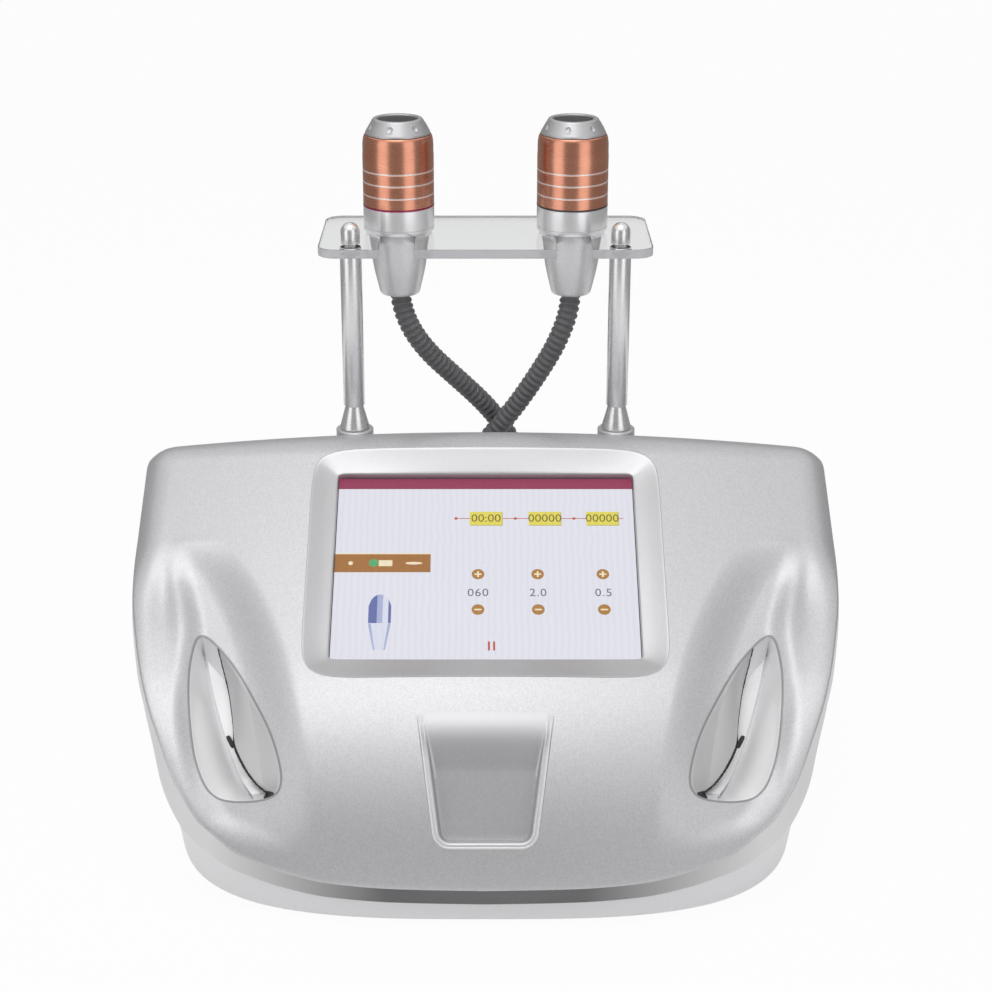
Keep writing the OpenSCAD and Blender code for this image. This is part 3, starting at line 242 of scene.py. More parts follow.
# Triangles that close the first and the last ring of a grid, each round a point in its middle
def capEnds(points, sides):
    count = len(points)
    i = np.arange(sides)
    k = (i + 1) % sides
    first = np.stack([np.full(sides, count), k, i], 1)
    last = np.stack([np.full(sides, count + 1), count - sides + i, count - sides + k], 1)
    middle = np.vstack([points[:sides].mean(0), points[-sides:].mean(0)])
    return np.vstack([points, middle]), np.vstack([first, last]).tolist()


# Doubles merge, faces turn outwards if asked, and only edges sharper than an angle stay sharp
def cleanMesh(mesh, distance, turn, sharp, flatten=False):
    bm = bmesh.new()
    bm.from_mesh(mesh)
    bmesh.ops.remove_doubles(bm, verts=bm.verts, dist=distance)
    if flatten:
        bmesh.ops.dissolve_limit(bm, angle_limit=math.radians(0.5), verts=bm.verts, edges=bm.edges)
    else:
        bmesh.ops.dissolve_degenerate(bm, edges=bm.edges, dist=distance / 20)
    if turn:
        bmesh.ops.recalc_face_normals(bm, faces=bm.faces)
    bm.to_mesh(mesh)
    bm.free()
    mesh.polygons.foreach_set("use_smooth", np.ones(len(mesh.polygons), bool))
    mesh.set_sharp_from_angle(angle=math.radians(sharp))


def setSlots(mesh, slots):
    mesh.polygons.foreach_set("material_index", np.asarray(slots, np.int32))


# Points in millimetres and faces become a piece; materials are named in one string
def makePiece(name, points, faces, materials, slotName, stands=(), body="console", sharp=35, slots=None,
              merge=0.002, turn=True):
    mesh = bpy.data.meshes.new(name)
    points = np.asarray(points, float).reshape(-1, 3) * mm
    mesh.from_pydata(points.tolist(), [], [list(f) for f in faces])
    for paint in materials.split():
        mesh.materials.append(paints[paint])
    if slots is not None:
        setSlots(mesh, slots)
    cleanMesh(mesh, merge * mm, turn, sharp)
    piece = addObject(name, mesh)
    if stands:
        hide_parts(*stands)
    if body:
        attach(piece, body)
    return piece


# A merged copy of a CAD node that stands in for it, with soft edges and smooth round faces
def dressed(nodeName, materials, bevel=0, sharp=32, pieceName=None):
    mesh = nodes[nodeName].data.copy()
    mesh.materials.clear()
    for paint in materials.split():
        mesh.materials.append(paints[paint])
    setSlots(mesh, np.zeros(len(mesh.polygons)))
    for layer in [a for a in mesh.attributes if a.name == "custom_normal"]:
        mesh.attributes.remove(layer)
    cleanMesh(mesh, 0.01 * mm, False, sharp, True)
    piece = addObject(pieceName or nodeName + "_finished", mesh)
    if bevel:
        mod = piece.modifiers.new("softEdge", "BEVEL")
        mod.width = bevel * mm
        mod.segments = 2
        mod.limit_method = "ANGLE"
        mod.angle_limit = math.radians(30)
    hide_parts(nodeName)
    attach(piece, nodes[nodeName]["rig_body"])
    return piece


# A profile of radius and height turned round an upright axis at the centre
def turned(profile, centre, count=96):
    r, z = np.array(profile, float).T
    a = np.linspace(0, fullTurn, count, endpoint=False)
    points = np.stack([centre[0] + np.outer(r, np.cos(a)), centre[1] + np.outer(r, np.sin(a)),
                       centre[2] + np.repeat(z[:, None], count, 1)], -1)
    return points.reshape(-1, 3), gridFaces(len(r), count, True)


# Smooth curve through points: on each stretch a cubic whose slopes come from the neighbours
def curveThrough(points, steps=24, closed=False):
    p = np.array(points, float)
    q = np.vstack([p[-1:], p, p[:2]]) if closed else np.vstack([2 * p[0] - p[1], p, 2 * p[-1] - p[-2]])
    n = len(q) - 3
    t = np.linspace(0, 1, steps, endpoint=False)[None, :, None]
    a, b, c, d = (q[k:k + n][:, None, :] for k in range(4))
    found = 0.5 * (2 * b + (c - a) * t + (2 * a - 5 * b + 4 * c - d) * t ** 2 + (3 * b - a - 3 * c + d) * t ** 3)
    found = found.reshape(-1, p.shape[1])
    return found if closed else np.vstack([found, p[-1:]])


# The same line with a given number of points, or points a fixed distance apart
def evenly(line, spacing=None, count=None):
    along = np.concatenate([[0], np.cumsum(np.linalg.norm(np.diff(line, axis=0), axis=1))])
    count = count or max(2, int(round(along[-1] / spacing)) + 1)
    at = np.linspace(0, along[-1], count)
    return np.stack([np.interp(at, along, line[:, k]) for k in range(line.shape[1])], 1)


# Hoses: routes in millimetres from the handpieces down to the bend above the table
hoseShape = {"radius": 6.0, "groove": 5.1, "ribPitch": 4.0, "ringsPerRib": 8, "sides": 16, "waveGain": 1.35,
             "bend": 50.0, "coilMid": 61.0, "coilStep": 12.8, "coilTurns": 2.75, "coilX": 118.0, "backY": 158.0,
             "turnX": 76.0, "onTable": (92, 106), "stepsPerTurn": 72, "degreesPerStep": 7.5, "leadY": 12.0,
             "riseZ": 12.0, "smoothing": 10}
leftRoute = [(-49, 113, 270.7), (-49, 113, 258.7), (-46.6, 113.8, 247), (-42.2, 116.2, 236.1),
             (-36.4, 119.8, 226.2), (-29.8, 124, 217.1), (-22.6, 128.6, 208.7), (-15.4, 133.2, 200.3),
             (-8.2, 137.8, 191.9), (-1.2, 142.2, 183.3), (5.4, 146.2, 174.1), (11.4, 149.4, 164.2),
             (16.6, 151.8, 153.7), (20.6, 153.4, 142.6), (23.4, 154.4, 131), (25.2, 154.8, 119.1),
             (26, 155.2, 107.1), (26, 155.8, 95.1), (26, 156.4, 83.1), (26, 157.2, 69)]
rightRoute = [(49, 113, 270.7), (49, 113, 258.7), (47.4, 113.4, 246.8), (43.8, 114.8, 235.5),
              (39.4, 117.2, 224.6), (34.2, 120.2, 214.2), (28.6, 123.2, 204), (22.8, 126.2, 193.9),
              (16.6, 129, 184), (10, 131.8, 174.4), (3.2, 134.6, 164.9), (-3.6, 137.4, 155.4),
              (-10, 140.4, 145.6), (-15.8, 143.4, 135.5), (-20.4, 146.4, 124.8), (-23.8, 149.2, 113.6),
              (-25.6, 151.6, 102), (-26, 153.4, 90.1), (-26, 155, 78.2), (-26, 156.6, 67)]


# Each point moved to the bell-weighted mean of its neighbours, with both ends kept
def relaxed(line, reach):
    pad = reach * 3
    full = np.vstack([2 * line[0] - line[pad:0:-1], line, 2 * line[-1] - line[-2:-pad - 2:-1]])
    weight = np.exp(-0.5 * (np.arange(-pad, pad + 1) / reach) ** 2)
    weight /= weight.sum()
    return np.stack([np.convolve(full[:, k], weight, "valid") for k in range(3)], 1)


# Down the back, a quarter turn onto the table, a flat double coil, then up a quarter turn to the plug.
# The coil's radius falls by one step in its first half and grows again in its second, one hose higher.
def hoseLine(route, side, h):
    bend, step, low, y0 = h["bend"], h["coilStep"], h["radius"], h["backY"]
    r0, half = h["coilMid"] + step * h["coilTurns"] / 4, h["coilTurns"] / 2
    a = np.radians(np.arange(0, 90 + 1, h["degreesPerStep"]))
    down = np.stack([side * (h["turnX"] - bend * np.cos(a)), np.full(len(a), y0), low + bend * (1 - np.sin(a))], 1)
    t = np.arange(0, h["coilTurns"] + 1e-9, 1 / h["stepsPerTurn"])
    r = r0 - step * (half - np.abs(half - t))
    turn = fullTurn * (t - 0.25)
    coil = np.stack([side * (h["coilX"] + r * np.cos(turn)), y0 + r0 + r * np.sin(turn),
                     low + step * smoothStep((t - half + 0.25) / 0.5)], 1)
    end = coil[-1]
    up = np.stack([np.full(len(a), end[0]), end[1] - 2 * h["leadY"] - bend * np.sin(a),
                   end[2] + bend * (1 - np.cos(a))], 1)
    onTable = [[side * x, y0, low] for x in h["onTable"]]
    line = np.vstack([curveThrough(route), down[1:], onTable, coil, end - [0, h["leadY"], 0], up,
                      up[-1] + [0, 0, h["riseZ"]]])
    return relaxed(evenly(line, h["ribPitch"] / h["ringsPerRib"]), h["smoothing"])


# Rings across a line; the frame is carried along coarse stations and blended between them
def tubePoints(line, radii, sides):
    tangent = np.gradient(line, axis=0)
    tangent /= np.linalg.norm(tangent, axis=1)[:, None]
    marks = np.unique(np.linspace(0, len(line) - 1, max(2, len(line) // 16)).astype(int))
    first = np.cross(tangent[0], [0, 1, 0])
    found = [first / np.linalg.norm(first)]
    for k in marks[1:]:
        v = found[-1] - tangent[k] * (found[-1] @ tangent[k])
        found.append(v / np.linalg.norm(v))
    found = np.array(found)
    across = np.stack([np.interp(np.arange(len(line)), marks, found[:, k]) for k in range(3)], 1)
    across -= tangent * (across * tangent).sum(1)[:, None]
    across /= np.linalg.norm(across, axis=1)[:, None]
    other = np.cross(tangent, across)
    a = np.linspace(0, fullTurn, sides, endpoint=False)[None, :, None]
    ring = np.cos(a) * across[:, None, :] + np.sin(a) * other[:, None, :]
    return line[:, None, :] + ring * radii[:, None, None]


# Ribs: the radius rises and falls with the distance along the hose, in a flattened wave
def makeHose(name, route, side, h):
    line = hoseLine(route, side, h)
    phase = fullTurn * np.arange(len(line)) / h["ringsPerRib"]
    wave = 0.5 + 0.5 * np.clip(h["waveGain"] * np.cos(phase), -1, 1)
    points = tubePoints(line, h["groove"] + (h["radius"] - h["groove"]) * wave, h["sides"]).reshape(-1, 3)
    points, caps = capEnds(points, h["sides"])
    piece = makePiece(name + "Hose", points, gridFaces(len(line), h["sides"], True).tolist() + caps, "hoseRubber",
                      "hose_grey", [name + "_hose_" + part for part in ("upper", "drop", "coil", "riser")],
                      body=None, sharp=75)
    exitX = float(line[0][0]) * mm
    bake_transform(piece, "console", name + "_handpiece", start=(0, 0.15, 0.1), end=(exitX, 0.113, 0.262))


plugs = {name: [dressed(name + "_hose_plug", "blackPlastic", sharp=40),
                dressed(name + "_plug_nut", "steel", 0.35, 30)] for name in ("left", "right")}
makeHose("left", leftRoute, 1, hoseShape)
makeHose("right", rightRoute, -1, hoseShape)
print("hoses made")

# Console: the skin follows one profile from lip to base and is crowned across. Angles are slopes in degrees.
consoleShape = {"lip": (-146.0, 24.6), "lipAngle": 74.7, "lipRadius": 157.6, "faceAngle": 30.5, "faceLength": 136.5,
                "crestRadius": 30.0, "crestAngle": -19.7, "backRadius": 60.0, "backAngle": -32.0,
                "backLength": 50.1, "rearRadius": 22.0, "rearLength": 125.8, "domeRadius": 1875.0,
                "crownFade": 50.0, "halfWidth": 190.5, "edgeDrop": 3.0, "cornerDrop": 4.0, "cornerFrom": 165.0,
                "cornerOver": 45.0, "rollWidth": 17.0, "rollPower": 2.6, "wall": 2.4, "rimWall": 3.0,
                "seamAfterBack": 21.0, "edgeRound": 1.1, "pastEnd": 60.0, "roundAt": (0.35, 0.7, 1),
                "bandAt": (0.3, 0.6, 0.9, 1)}


def bend(radius, start, end):
    return radius * math.radians(start - end), start, end


# Stretches of the profile: length, slope at the start, slope at the end
def sideArcs(c):
    face, crest, back = c["faceAngle"], c["crestAngle"], c["backAngle"]
    return [bend(c["lipRadius"], c["lipAngle"], face), (c["faceLength"], face, face),
            bend(c["crestRadius"], face, crest), bend(c["backRadius"], crest, back), (c["backLength"], back, back),
            bend(c["rearRadius"], back, -90), (c["rearLength"] + c["pastEnd"], -90, -90)]


arcs = sideArcs(consoleShape)
starts = np.cumsum([0] + [length for length, _, _ in arcs])
faceStart, crestStart, backStart = starts[1], starts[2], starts[4]
profileEnd = starts[6] + consoleShape["rearLength"]
seamAt = backStart + consoleShape["seamAfterBack"]


# Step along a stretch that starts at slope b and turns at a steady rate:
# y = (sin(b + rate d) - sin b) / rate, z = (cos b - cos(b + rate d)) / rate
def stepAlong(b, rate, d):
    if rate == 0:
        return d * math.cos(b), d * math.sin(b)
    return (np.sin(b + rate * d) - math.sin(b)) / rate, (math.cos(b) - np.cos(b + rate * d)) / rate


# Place and slope on the side profile at a distance s from the lip
def alongProfile(s):
    s = np.asarray(s, float)
    y, z, slope = (np.zeros_like(s) for _ in range(3))
    py, pz = consoleShape["lip"]
    for start, (length, a0, a1) in zip(starts, arcs):
        here = (s >= start) | (start == 0)
        b, rate = math.radians(a0), math.radians(a1 - a0) / length
        dy, dz = stepAlong(b, rate, s - start)
        y, z, slope = (np.where(here, new, old) for new, old in
                       ((py + dy, y), (pz + dz, z), (b + rate * (s - start), slope)))
        dy, dz = stepAlong(b, rate, length)
        py, pz = py + dy, pz + dz
    return y, z, slope


# A table of x and value read as one smooth curve that never overshoots its points
def softLookup(x, table):
    xs, ys = np.array(table, float).T
    h = np.diff(xs)
    d = np.diff(ys) / h
    m = np.concatenate([[d[0]], np.zeros(len(d) - 1), [d[-1]]])
    w1, w2 = 2 * h[1:] + h[:-1], h[1:] + 2 * h[:-1]
    same = d[:-1] * d[1:] > 0
    safe = np.where(same, d[:-1] * d[1:], 1)
    m[1:-1] = np.where(same, (w1 + w2) * safe / (w1 * d[1:] + w2 * d[:-1] + 1e-12), 0)
    k = np.clip(np.searchsorted(xs, x) - 1, 0, len(h) - 1)
    u = np.clip((x - xs[k]) / h[k], 0, 1)
    return (ys[k] * (1 + 2 * u) * (1 - u) ** 2 + m[k] * h[k] * u * (1 - u) ** 2
            + ys[k + 1] * u * u * (3 - 2 * u) + m[k + 1] * h[k] * u * u * (u - 1))


# Outline of the covers on their unrolled surface, the band at their edge, and the scoop above each holster
coverPlan = {
    "frontSide": [(27, -54.5), (34, -46.5), (44, -39.5), (56, -33), (75, -25.5), (100, -16.5), (137, -7.5),
                  (170, -2), (204, 0), (262, 0), (318, -1.5)],
    "frontEdge": [(0, 0), (45, 0.8), (78, 3.3), (101, 8.4), (115, 13.4), (126.5, 18.5), (137, 27)],
    "rearSide": [(318, -1.5), (370, -1.5), (471, -23.5)],
    "rearEdge": [(0, 0), (110, -0.4), (140, -5.4), (156, -14.4), (165, -25)],
    "frontReach": 137, "rearReach": 165, "cornerS": 27.0, "rearCornerS": 25.0, "seamGap": 0.3}
bandShape = {"flare": 2.0, "frontFlare": 8.6, "depth": 14.0, "frontLess": 4.9, "rearLess": 2.0,
             "frontFrom": 20, "frontOver": 90, "rearFrom": 60, "rearOver": 40}
scoopShape = {
    "inner": [(18, 84), (49, 87), (77, 91.5), (119, 101), (160, 116), (200, 138)],
    "outer": [(18, 150), (100, 156), (141, 155), (178, 163), (200, 168)],
    "depth": [(18, 0), (45, 4.5), (90, 7), (140, 8), (175, 6.5), (200, 0)],
    "fade": 20.0, "ramp": 25.0, "rampSoft": 0.55, "outerShare": 0.75, "outerEarly": 8, "outerOver": 14,
    "dimpleMiddle": (173, 168), "dimpleSize": (9, 26), "dimpleDepth": 2.2}


def halfWidth(s, rear=False):
    return consoleShape["halfWidth"] + softLookup(s, coverPlan["rearSide" if rear else "frontSide"])


# How far the band flares out and how deep it is, at a distance s along the profile
def bandSize(s):
    b = bandShape
    front = 1 - smoothStep((s - b["frontFrom"]) / b["frontOver"])
    rear = smoothStep((s - profileEnd + b["rearFrom"]) / b["rearOver"])
    return b["flare"] + b["frontFlare"] * front, b["depth"] - b["frontLess"] * front - b["rearLess"] * rear


# Depth of the scoop: its floor and a bell-shaped dimple, faded at the inner edge, the outer edge and the rim
def scoopDepth(u, s):
    p = scoopShape
    rise = (u - softLookup(s, p["inner"])) / p["ramp"]
    ramp = p["rampSoft"] * smoothStep(rise) + (1 - p["rampSoft"]) * np.clip(rise, 0, 1)
    past = smoothStep((u - softLookup(s, p["outer"]) + p["outerEarly"]) / p["outerOver"])
    floor = softLookup(s, p["depth"]) * ramp * (1 - p["outerShare"] * past)
    (u0, s0), (wide, long) = p["dimpleMiddle"], p["dimpleSize"]
    dimple = p["dimpleDepth"] * np.exp(-((u - u0) / wide) ** 2 - ((s - s0) / long) ** 2)
    inside = np.minimum(halfWidth(s) - u, s - softLookup(u, coverPlan["frontEdge"]))
    return (floor + dimple) * smoothStep(inside / p["fade"])


# A point of the skin: along the profile, out by off, lower by x^2 / (2 radius) across, rolled off at the
# side edges and more at the top corners, and lower in the scoops
def skinPoint(x, s, off=0.0, scooped=False):
    c = consoleShape
    y, z, slope = alongProfile(s)
    crown = np.clip(1 - (s - backStart) / c["crownFade"], 0, 1)
    drop = c["edgeDrop"] + c["cornerDrop"] * smoothStep((s - c["cornerFrom"]) / c["cornerOver"])
    roll = np.clip((np.abs(x) - c["halfWidth"] + c["rollWidth"]) / c["rollWidth"], 0, 1) ** c["rollPower"]
    d = off - crown * x * x / (2 * c["domeRadius"]) - drop * roll
    if scooped:
        d = d - scoopDepth(np.abs(x), s)
    return np.stack([x + 0 * y, y - np.sin(slope) * d, z + np.cos(slope) * d], -1)


# Plan grid of a cover: e runs across from -1 to 1, f from the free end 1 to the seam 0
def planGrid(e, f, inset, rear=False):
    p = coverPlan
    if rear:
        seam, corner = seamAt + p["seamGap"], profileEnd - p["rearCornerS"]
        edge = profileEnd + softLookup(np.abs(e) * p["rearReach"], p["rearEdge"]) - inset
    else:
        seam, corner = seamAt, p["cornerS"]
        edge = softLookup(np.abs(e) * p["frontReach"], p["frontEdge"]) + inset
    side = seam + (corner - seam) * f
    return np.stack([e * (halfWidth(side, rear) - inset), seam + (edge - seam) * f], -1)


# Directions square to an open line; the two ends point straight sideways
def outwards(edge, turn):
    ahead, behind = np.roll(edge, -1, axis=0), np.roll(edge, 1, axis=0)
    ahead[-1], behind[0] = edge[-1], edge[0]
    d = ahead - behind
    out = turn * np.stack([d[:, 1], -d[:, 0]], 1) / np.linalg.norm(d, axis=1)[:, None]
    out[0], out[-1] = [np.sign(edge[0, 0]), 0], [np.sign(edge[-1, 0]), 0]
    return out


# Signed distance from points to a closed outline, negative inside
def outlineDistance(points, outline):
    p = points.reshape(-1, 2)
    best = np.full(len(p), 1e9)
    inside = np.zeros(len(p), bool)
    for start, end in zip(outline, np.roll(outline, -1, axis=0)):
        edge = end - start
        t = np.clip(((p - start) @ edge) / (edge @ edge), 0, 1)
        best = np.minimum(best, np.linalg.norm(p - start - t[:, None] * edge, axis=1))
        cross = (start[1] > p[:, 1]) != (end[1] > p[:, 1])
        if abs(edge[1]) > 1e-12:
            inside ^= cross & (p[:, 0] < start[0] + (p[:, 1] - start[1]) / edge[1] * edge[0])
    return np.where(inside, -best, best).reshape(points.shape[:-1])


cutting = {"near": 6.0, "pull": 1.12, "rounds": 3, "shift": 0.05, "leastSlope": 0.25}


# Grid points near an opening's outline move onto it, and what lies inside is left out. Each opening is
# a map from the plan to the plane where its outline is drawn, and that outline.
def cutOpenings(plan, quads, openings):
    p = cutting
    plan = plan.reshape(-1, 2).copy()
    state = np.ones(len(plan), int)
    for toPlane, outline in openings:
        far = outlineDistance(toPlane(plan), outline)
        near = np.abs(far) < p["near"]
        for step in range(p["rounds"]):
            q = plan[near]
            d0 = outlineDistance(toPlane(q), outline)
            grad = np.stack([outlineDistance(toPlane(q + shift), outline) - d0
                             for shift in np.eye(2) * p["shift"]], 1) / p["shift"]
            if step == 0:
                pull = np.abs(d0) < p["pull"]
            size = np.maximum((grad ** 2).sum(1), p["leastSlope"])
            q[pull] -= (grad * (d0 / size)[:, None])[pull]
            plan[near] = q
        snapped = np.zeros(len(plan), bool)
        snapped[np.flatnonzero(near)[pull]] = True
        state[(far < 0) & ~snapped] = -1
        state[snapped & (state > 0)] = 0
    corner = state[quads] == 0
    flip = (corner[:, 1] & corner[:, 3] & ~(corner[:, 0] & corner[:, 2]))[:, None]
    triangles = np.concatenate([np.where(flip, quads[:, [0, 1, 3]], quads[:, [0, 1, 2]]),
                                np.where(flip, quads[:, [1, 2, 3]], quads[:, [0, 2, 3]])])
    middle = plan[triangles].mean(1)
    keep = (state[triangles] >= 0).all(1)
    touched = (state[triangles] == 0).all(1)
    for toPlane, outline in openings:
        keep &= ~(touched & (outlineDistance(toPlane(middle), outline) < 0))
    return plan, triangles[keep]


# Edges that only one face uses, in that face's direction
def openEdges(triangles):
    edges = np.concatenate([triangles[:, [0, 1]], triangles[:, [1, 2]], triangles[:, [2, 0]]])
    key = np.sort(edges, 1) @ np.array([1 << 32, 1])
    _, where, count = np.unique(key, return_index=True, return_counts=True)
    return edges[where[count == 1]]


# Normals at points, from faces weighted by area. Where a folded face spoils one, the mean round it is used.
def pointNormals(points, triangles, leastAgree=0.8):
    a, b, c = (points[triangles[:, k]] for k in range(3))
    share = np.cross(b - a, c - a)
    rounds = []
    for _ in range(3):
        total = np.zeros_like(points)
        np.add.at(total, triangles, np.repeat(share[:, None], 3, 1))
        total /= np.maximum(np.linalg.norm(total, axis=1), 1e-12)[:, None]
        rounds.append(total)
        share = total[triangles].sum(1)
    agree = (rounds[0] * rounds[-1]).sum(1) > leastAgree
    return np.where(agree[:, None], rounds[0], rounds[-1])


# A sheet given a wall: the same points moved inwards, turned faces, and a strip round every open edge
def withWall(points, triangles, thickness, slots):
    inner = points - pointNormals(points, triangles) * thickness
    n = len(points)
    rim = openEdges(triangles)
    strip = np.concatenate([np.stack([rim[:, 1], rim[:, 0], rim[:, 0] + n], 1),
                            np.stack([rim[:, 1], rim[:, 0] + n, rim[:, 1] + n], 1)])
    faces = np.concatenate([triangles, triangles[:, ::-1] + n, strip])
    return np.concatenate([points, inner]), faces, np.concatenate([slots, slots, np.zeros(len(strip), int)])


# A cover: the skin's grid, an edge turned over in a soft round, then the band that flares out and down, whose dark
# colour is painted shade and reflection
def makeCover(name, columns, rows, openings, materials, stands, rear=False):
    c = consoleShape
    e, f = np.linspace(-1, 1, columns)[None, :], np.linspace(1, 0, rows)[:, None]
    plan, triangles = cutOpenings(planGrid(e, f, c["edgeRound"], rear), gridFaces(rows, columns), openings)
    points = skinPoint(plan[:, 0], plan[:, 1], 0, not rear)
    index = np.arange(rows * columns).reshape(rows, columns)
    ring = np.concatenate([index[::-1, 0][:-1], index[0], index[1:, -1]])
    edge = planGrid(e, f, 0, rear).reshape(-1, 2)[ring]
    out = outwards(edge, -1 if rear else 1)
    flare, depth = bandSize(edge[:, 1])
    small = c["edgeRound"] / np.hypot(flare, depth)
    steps = [(t * t * small * flare - (1 - t) ** 2 * c["edgeRound"], t * t * small * depth) for t in c["roundAt"]]
    steps += [(flare * share, depth * share) for share in (small + (1 - small) * t for t in c["bandAt"])]
    moved = [(edge + out * reach[:, None], drop) for reach, drop in steps]
    band = [skinPoint(q[:, 0], q[:, 1], -drop) for q, drop in moved]
    ids = np.vstack([ring, len(points) + np.arange(len(steps) * len(ring)).reshape(len(steps), -1)])
    topLeft, topRight, lowLeft, lowRight = ids[:-1, :-1], ids[:-1, 1:], ids[1:, :-1], ids[1:, 1:]
    strip = np.concatenate([np.stack(corners, -1).reshape(-1, 3) for corners in
                            ((topRight, topLeft, lowLeft), (topRight, lowLeft, lowRight))])
    # Band faces take the second material, which holds the painted shade and reflection
    paintedShade = np.repeat(np.arange(len(steps)) >= len(c["roundAt"]) - 1, len(ring) - 1).astype(int)
    slots = np.concatenate([np.zeros(len(triangles), int), paintedShade, paintedShade])
    faces = np.concatenate([triangles, strip])
    points, faces, slots = withWall(np.vstack([points] + band), faces[:, ::-1] if rear else faces, c["wall"], slots)
    makePiece(name, points, faces, materials, "silver_body", [stands], sharp=38, slots=slots, turn=False)


# Points given across, along and off a plane that is tilted about x: out of that plane, and into it
def outOfPlane(p, origin, turn):
    y, z = p[..., 1], p[..., 2]
    return np.stack([p[..., 0], origin[0] + y * math.cos(turn) - z * math.sin(turn),
                     origin[1] + y * math.sin(turn) + z * math.cos(turn)], -1)


def intoPlane(p, origin, turn):
    y, z = p[..., 1] - origin[0], p[..., 2] - origin[1]
    return np.stack([p[..., 0], y * math.cos(turn) + z * math.sin(turn),
                     z * math.cos(turn) - y * math.sin(turn)], -1)


# Almond mouth of a holster, distance from the middle by s; the screen on the face; the tray under it
mouthShape = [(149, 144), (153.7, 126.5), (152, 94), (146, 63), (135, 46.5), (112, 45.5), (103, 54),
              (107.3, 76), (118.5, 101), (132.5, 126.5)]
mouthMiddle = np.array([128.0, 90.0])
mouthOutline = curveThrough(mouthShape, 14, closed=True)
screenShape = {"lcd": (162.4, 121.8), "bezel": (14.2, 14.6), "up": 64.1, "outer": 10.5,
               "inner": 60, "innerGap": (0.4, 0.5), "fit": 0.24, "gap": 0.25, "around": 720}
faceMiddle = np.array(alongProfile(faceStart + screenShape["up"])[:2])
faceTurn = math.radians(consoleShape["faceAngle"])
trayShape = {"topS": 88.0, "lowS": 20.0, "deep": 6.5, "halfTop": 34.6, "halfLow": 26.7, "corner": 9.0,
             "gap": 0.2, "topMore": 0.9, "leave": 28.0, "fadeFrom": 15.0, "fadeOver": 13.0, "proud": 0.05,
             "spacing": 0.7, "grooveDrop": 0.5, "fallPower": 1.3, "footFrom": 15.0, "across": 41, "beadRows": 11}
trayHigh = np.array(alongProfile(trayShape["topS"])[:2])
lowY, lowZ, lowSlope = alongProfile(trayShape["lowS"])
trayLow = np.array([lowY + math.sin(lowSlope) * trayShape["deep"], lowZ - math.cos(lowSlope) * trayShape["deep"]])
trayTurn = math.atan2(trayHigh[1] - trayLow[1], trayHigh[0] - trayLow[0])
trayLength = np.linalg.norm(trayHigh - trayLow)


# Rounded oblong as a superellipse: radius by direction
def squarish(a, b, power, count=480):
    t = np.linspace(0, fullTurn, count, endpoint=False)
    r = (np.abs(np.cos(t) / a) ** power + np.abs(np.sin(t) / b) ** power) ** (-1 / power)
    return np.stack([r * np.cos(t), r * np.sin(t)], 1)


def bezelOutline(grow, count=480):
    a, b = (lcd / 2 + width + grow for lcd, width in zip(screenShape["lcd"], screenShape["bezel"]))
    return squarish(a, b, screenShape["outer"], count)


def trayOutline(grow):
    t = trayShape
    a = np.radians(np.linspace(188, 270, 12))
    r, h = t["corner"] + grow, t["corner"]
    left = np.stack([-t["halfLow"] + h + r * np.cos(a), h + r * np.sin(a)], 1)
    return np.vstack([[t["halfTop"] + grow, trayLength], [-t["halfTop"] - grow, trayLength], left,
                      left[::-1] * [-1, 1]])


def oblong(w, h, r):
    a = np.linspace(0, math.pi / 2, 10)
    corner = np.stack([w / 2 - r + r * np.cos(a), h / 2 - r + r * np.sin(a)], 1)
    back = corner[::-1]
    return np.vstack([corner, back * [-1, 1], corner * [-1, -1], back * [1, -1]])


farAway = 900
wallShape = {"window": (260, 92, 8), "middleZ": 76, "fromY": 120}


# Where points of the plan show on a tilted plane; those too far off it are moved out of the way
def planTo(origin, turn, low, high):
    def place(plan):
        q = intoPlane(skinPoint(plan[:, 0], plan[:, 1]), origin, turn)
        return np.stack([q[:, 0] + np.where((q[:, 2] > high) | (q[:, 2] < low), farAway, 0), q[:, 1]], 1)
    return place


def planToWall(plan):
    p = skinPoint(plan[:, 0], plan[:, 1])
    return np.stack([p[:, 0] + np.where(p[:, 1] < wallShape["fromY"], farAway, 0), p[:, 2]], 1)


frontOpenings = [(lambda plan: plan * [-1, 1], mouthOutline), (lambda plan: plan, mouthOutline),
                 (planTo(faceMiddle, faceTurn, low=-30, high=30), bezelOutline(screenShape["gap"])),
                 (planTo(trayLow, trayTurn, low=-2, high=30), trayOutline(trayShape["gap"]))]
rearWindow = oblong(*wallShape["window"]) + [0, wallShape["middleZ"]]
makeCover("frontShell", 193, 170, frontOpenings, "silverPaint bandPaint", "front_shell")
makeCover("rearCover", 191, 80, [(planToWall, rearWindow)], "coverPaint coverPaint", "rear_cover", rear=True)
print("covers made")

# Tub: from its plan on the table up into the bands of both covers
tubShape = {"front": 140.5, "rear": 115.0, "halfWidth": 165.0, "middleY": -14.0, "foot": 3.0, "wall": 2.6,
            "tuck": 4.0, "gap": 0.9, "bottomRound": 3.0, "frontPower": 3.2, "rearPower": 6.0, "floor": 3.0,
            "roundDegrees": (0, 25, 50, 70, 90), "wallAt": (0.25, 0.5, 0.75), "across": 120, "along": 60}


def rimPlan(rear, inset):
    e, f = np.linspace(-1, 1, tubShape["across"]), np.linspace(0, 1, tubShape["along"])
    left = planGrid(np.full(len(f), -1.0), f, inset, rear)
    right = planGrid(np.full(len(f), 1.0), f[::-1], inset, rear)
    return np.vstack([left[:-1], planGrid(e, np.ones(len(e)), inset, rear), right[1:]])


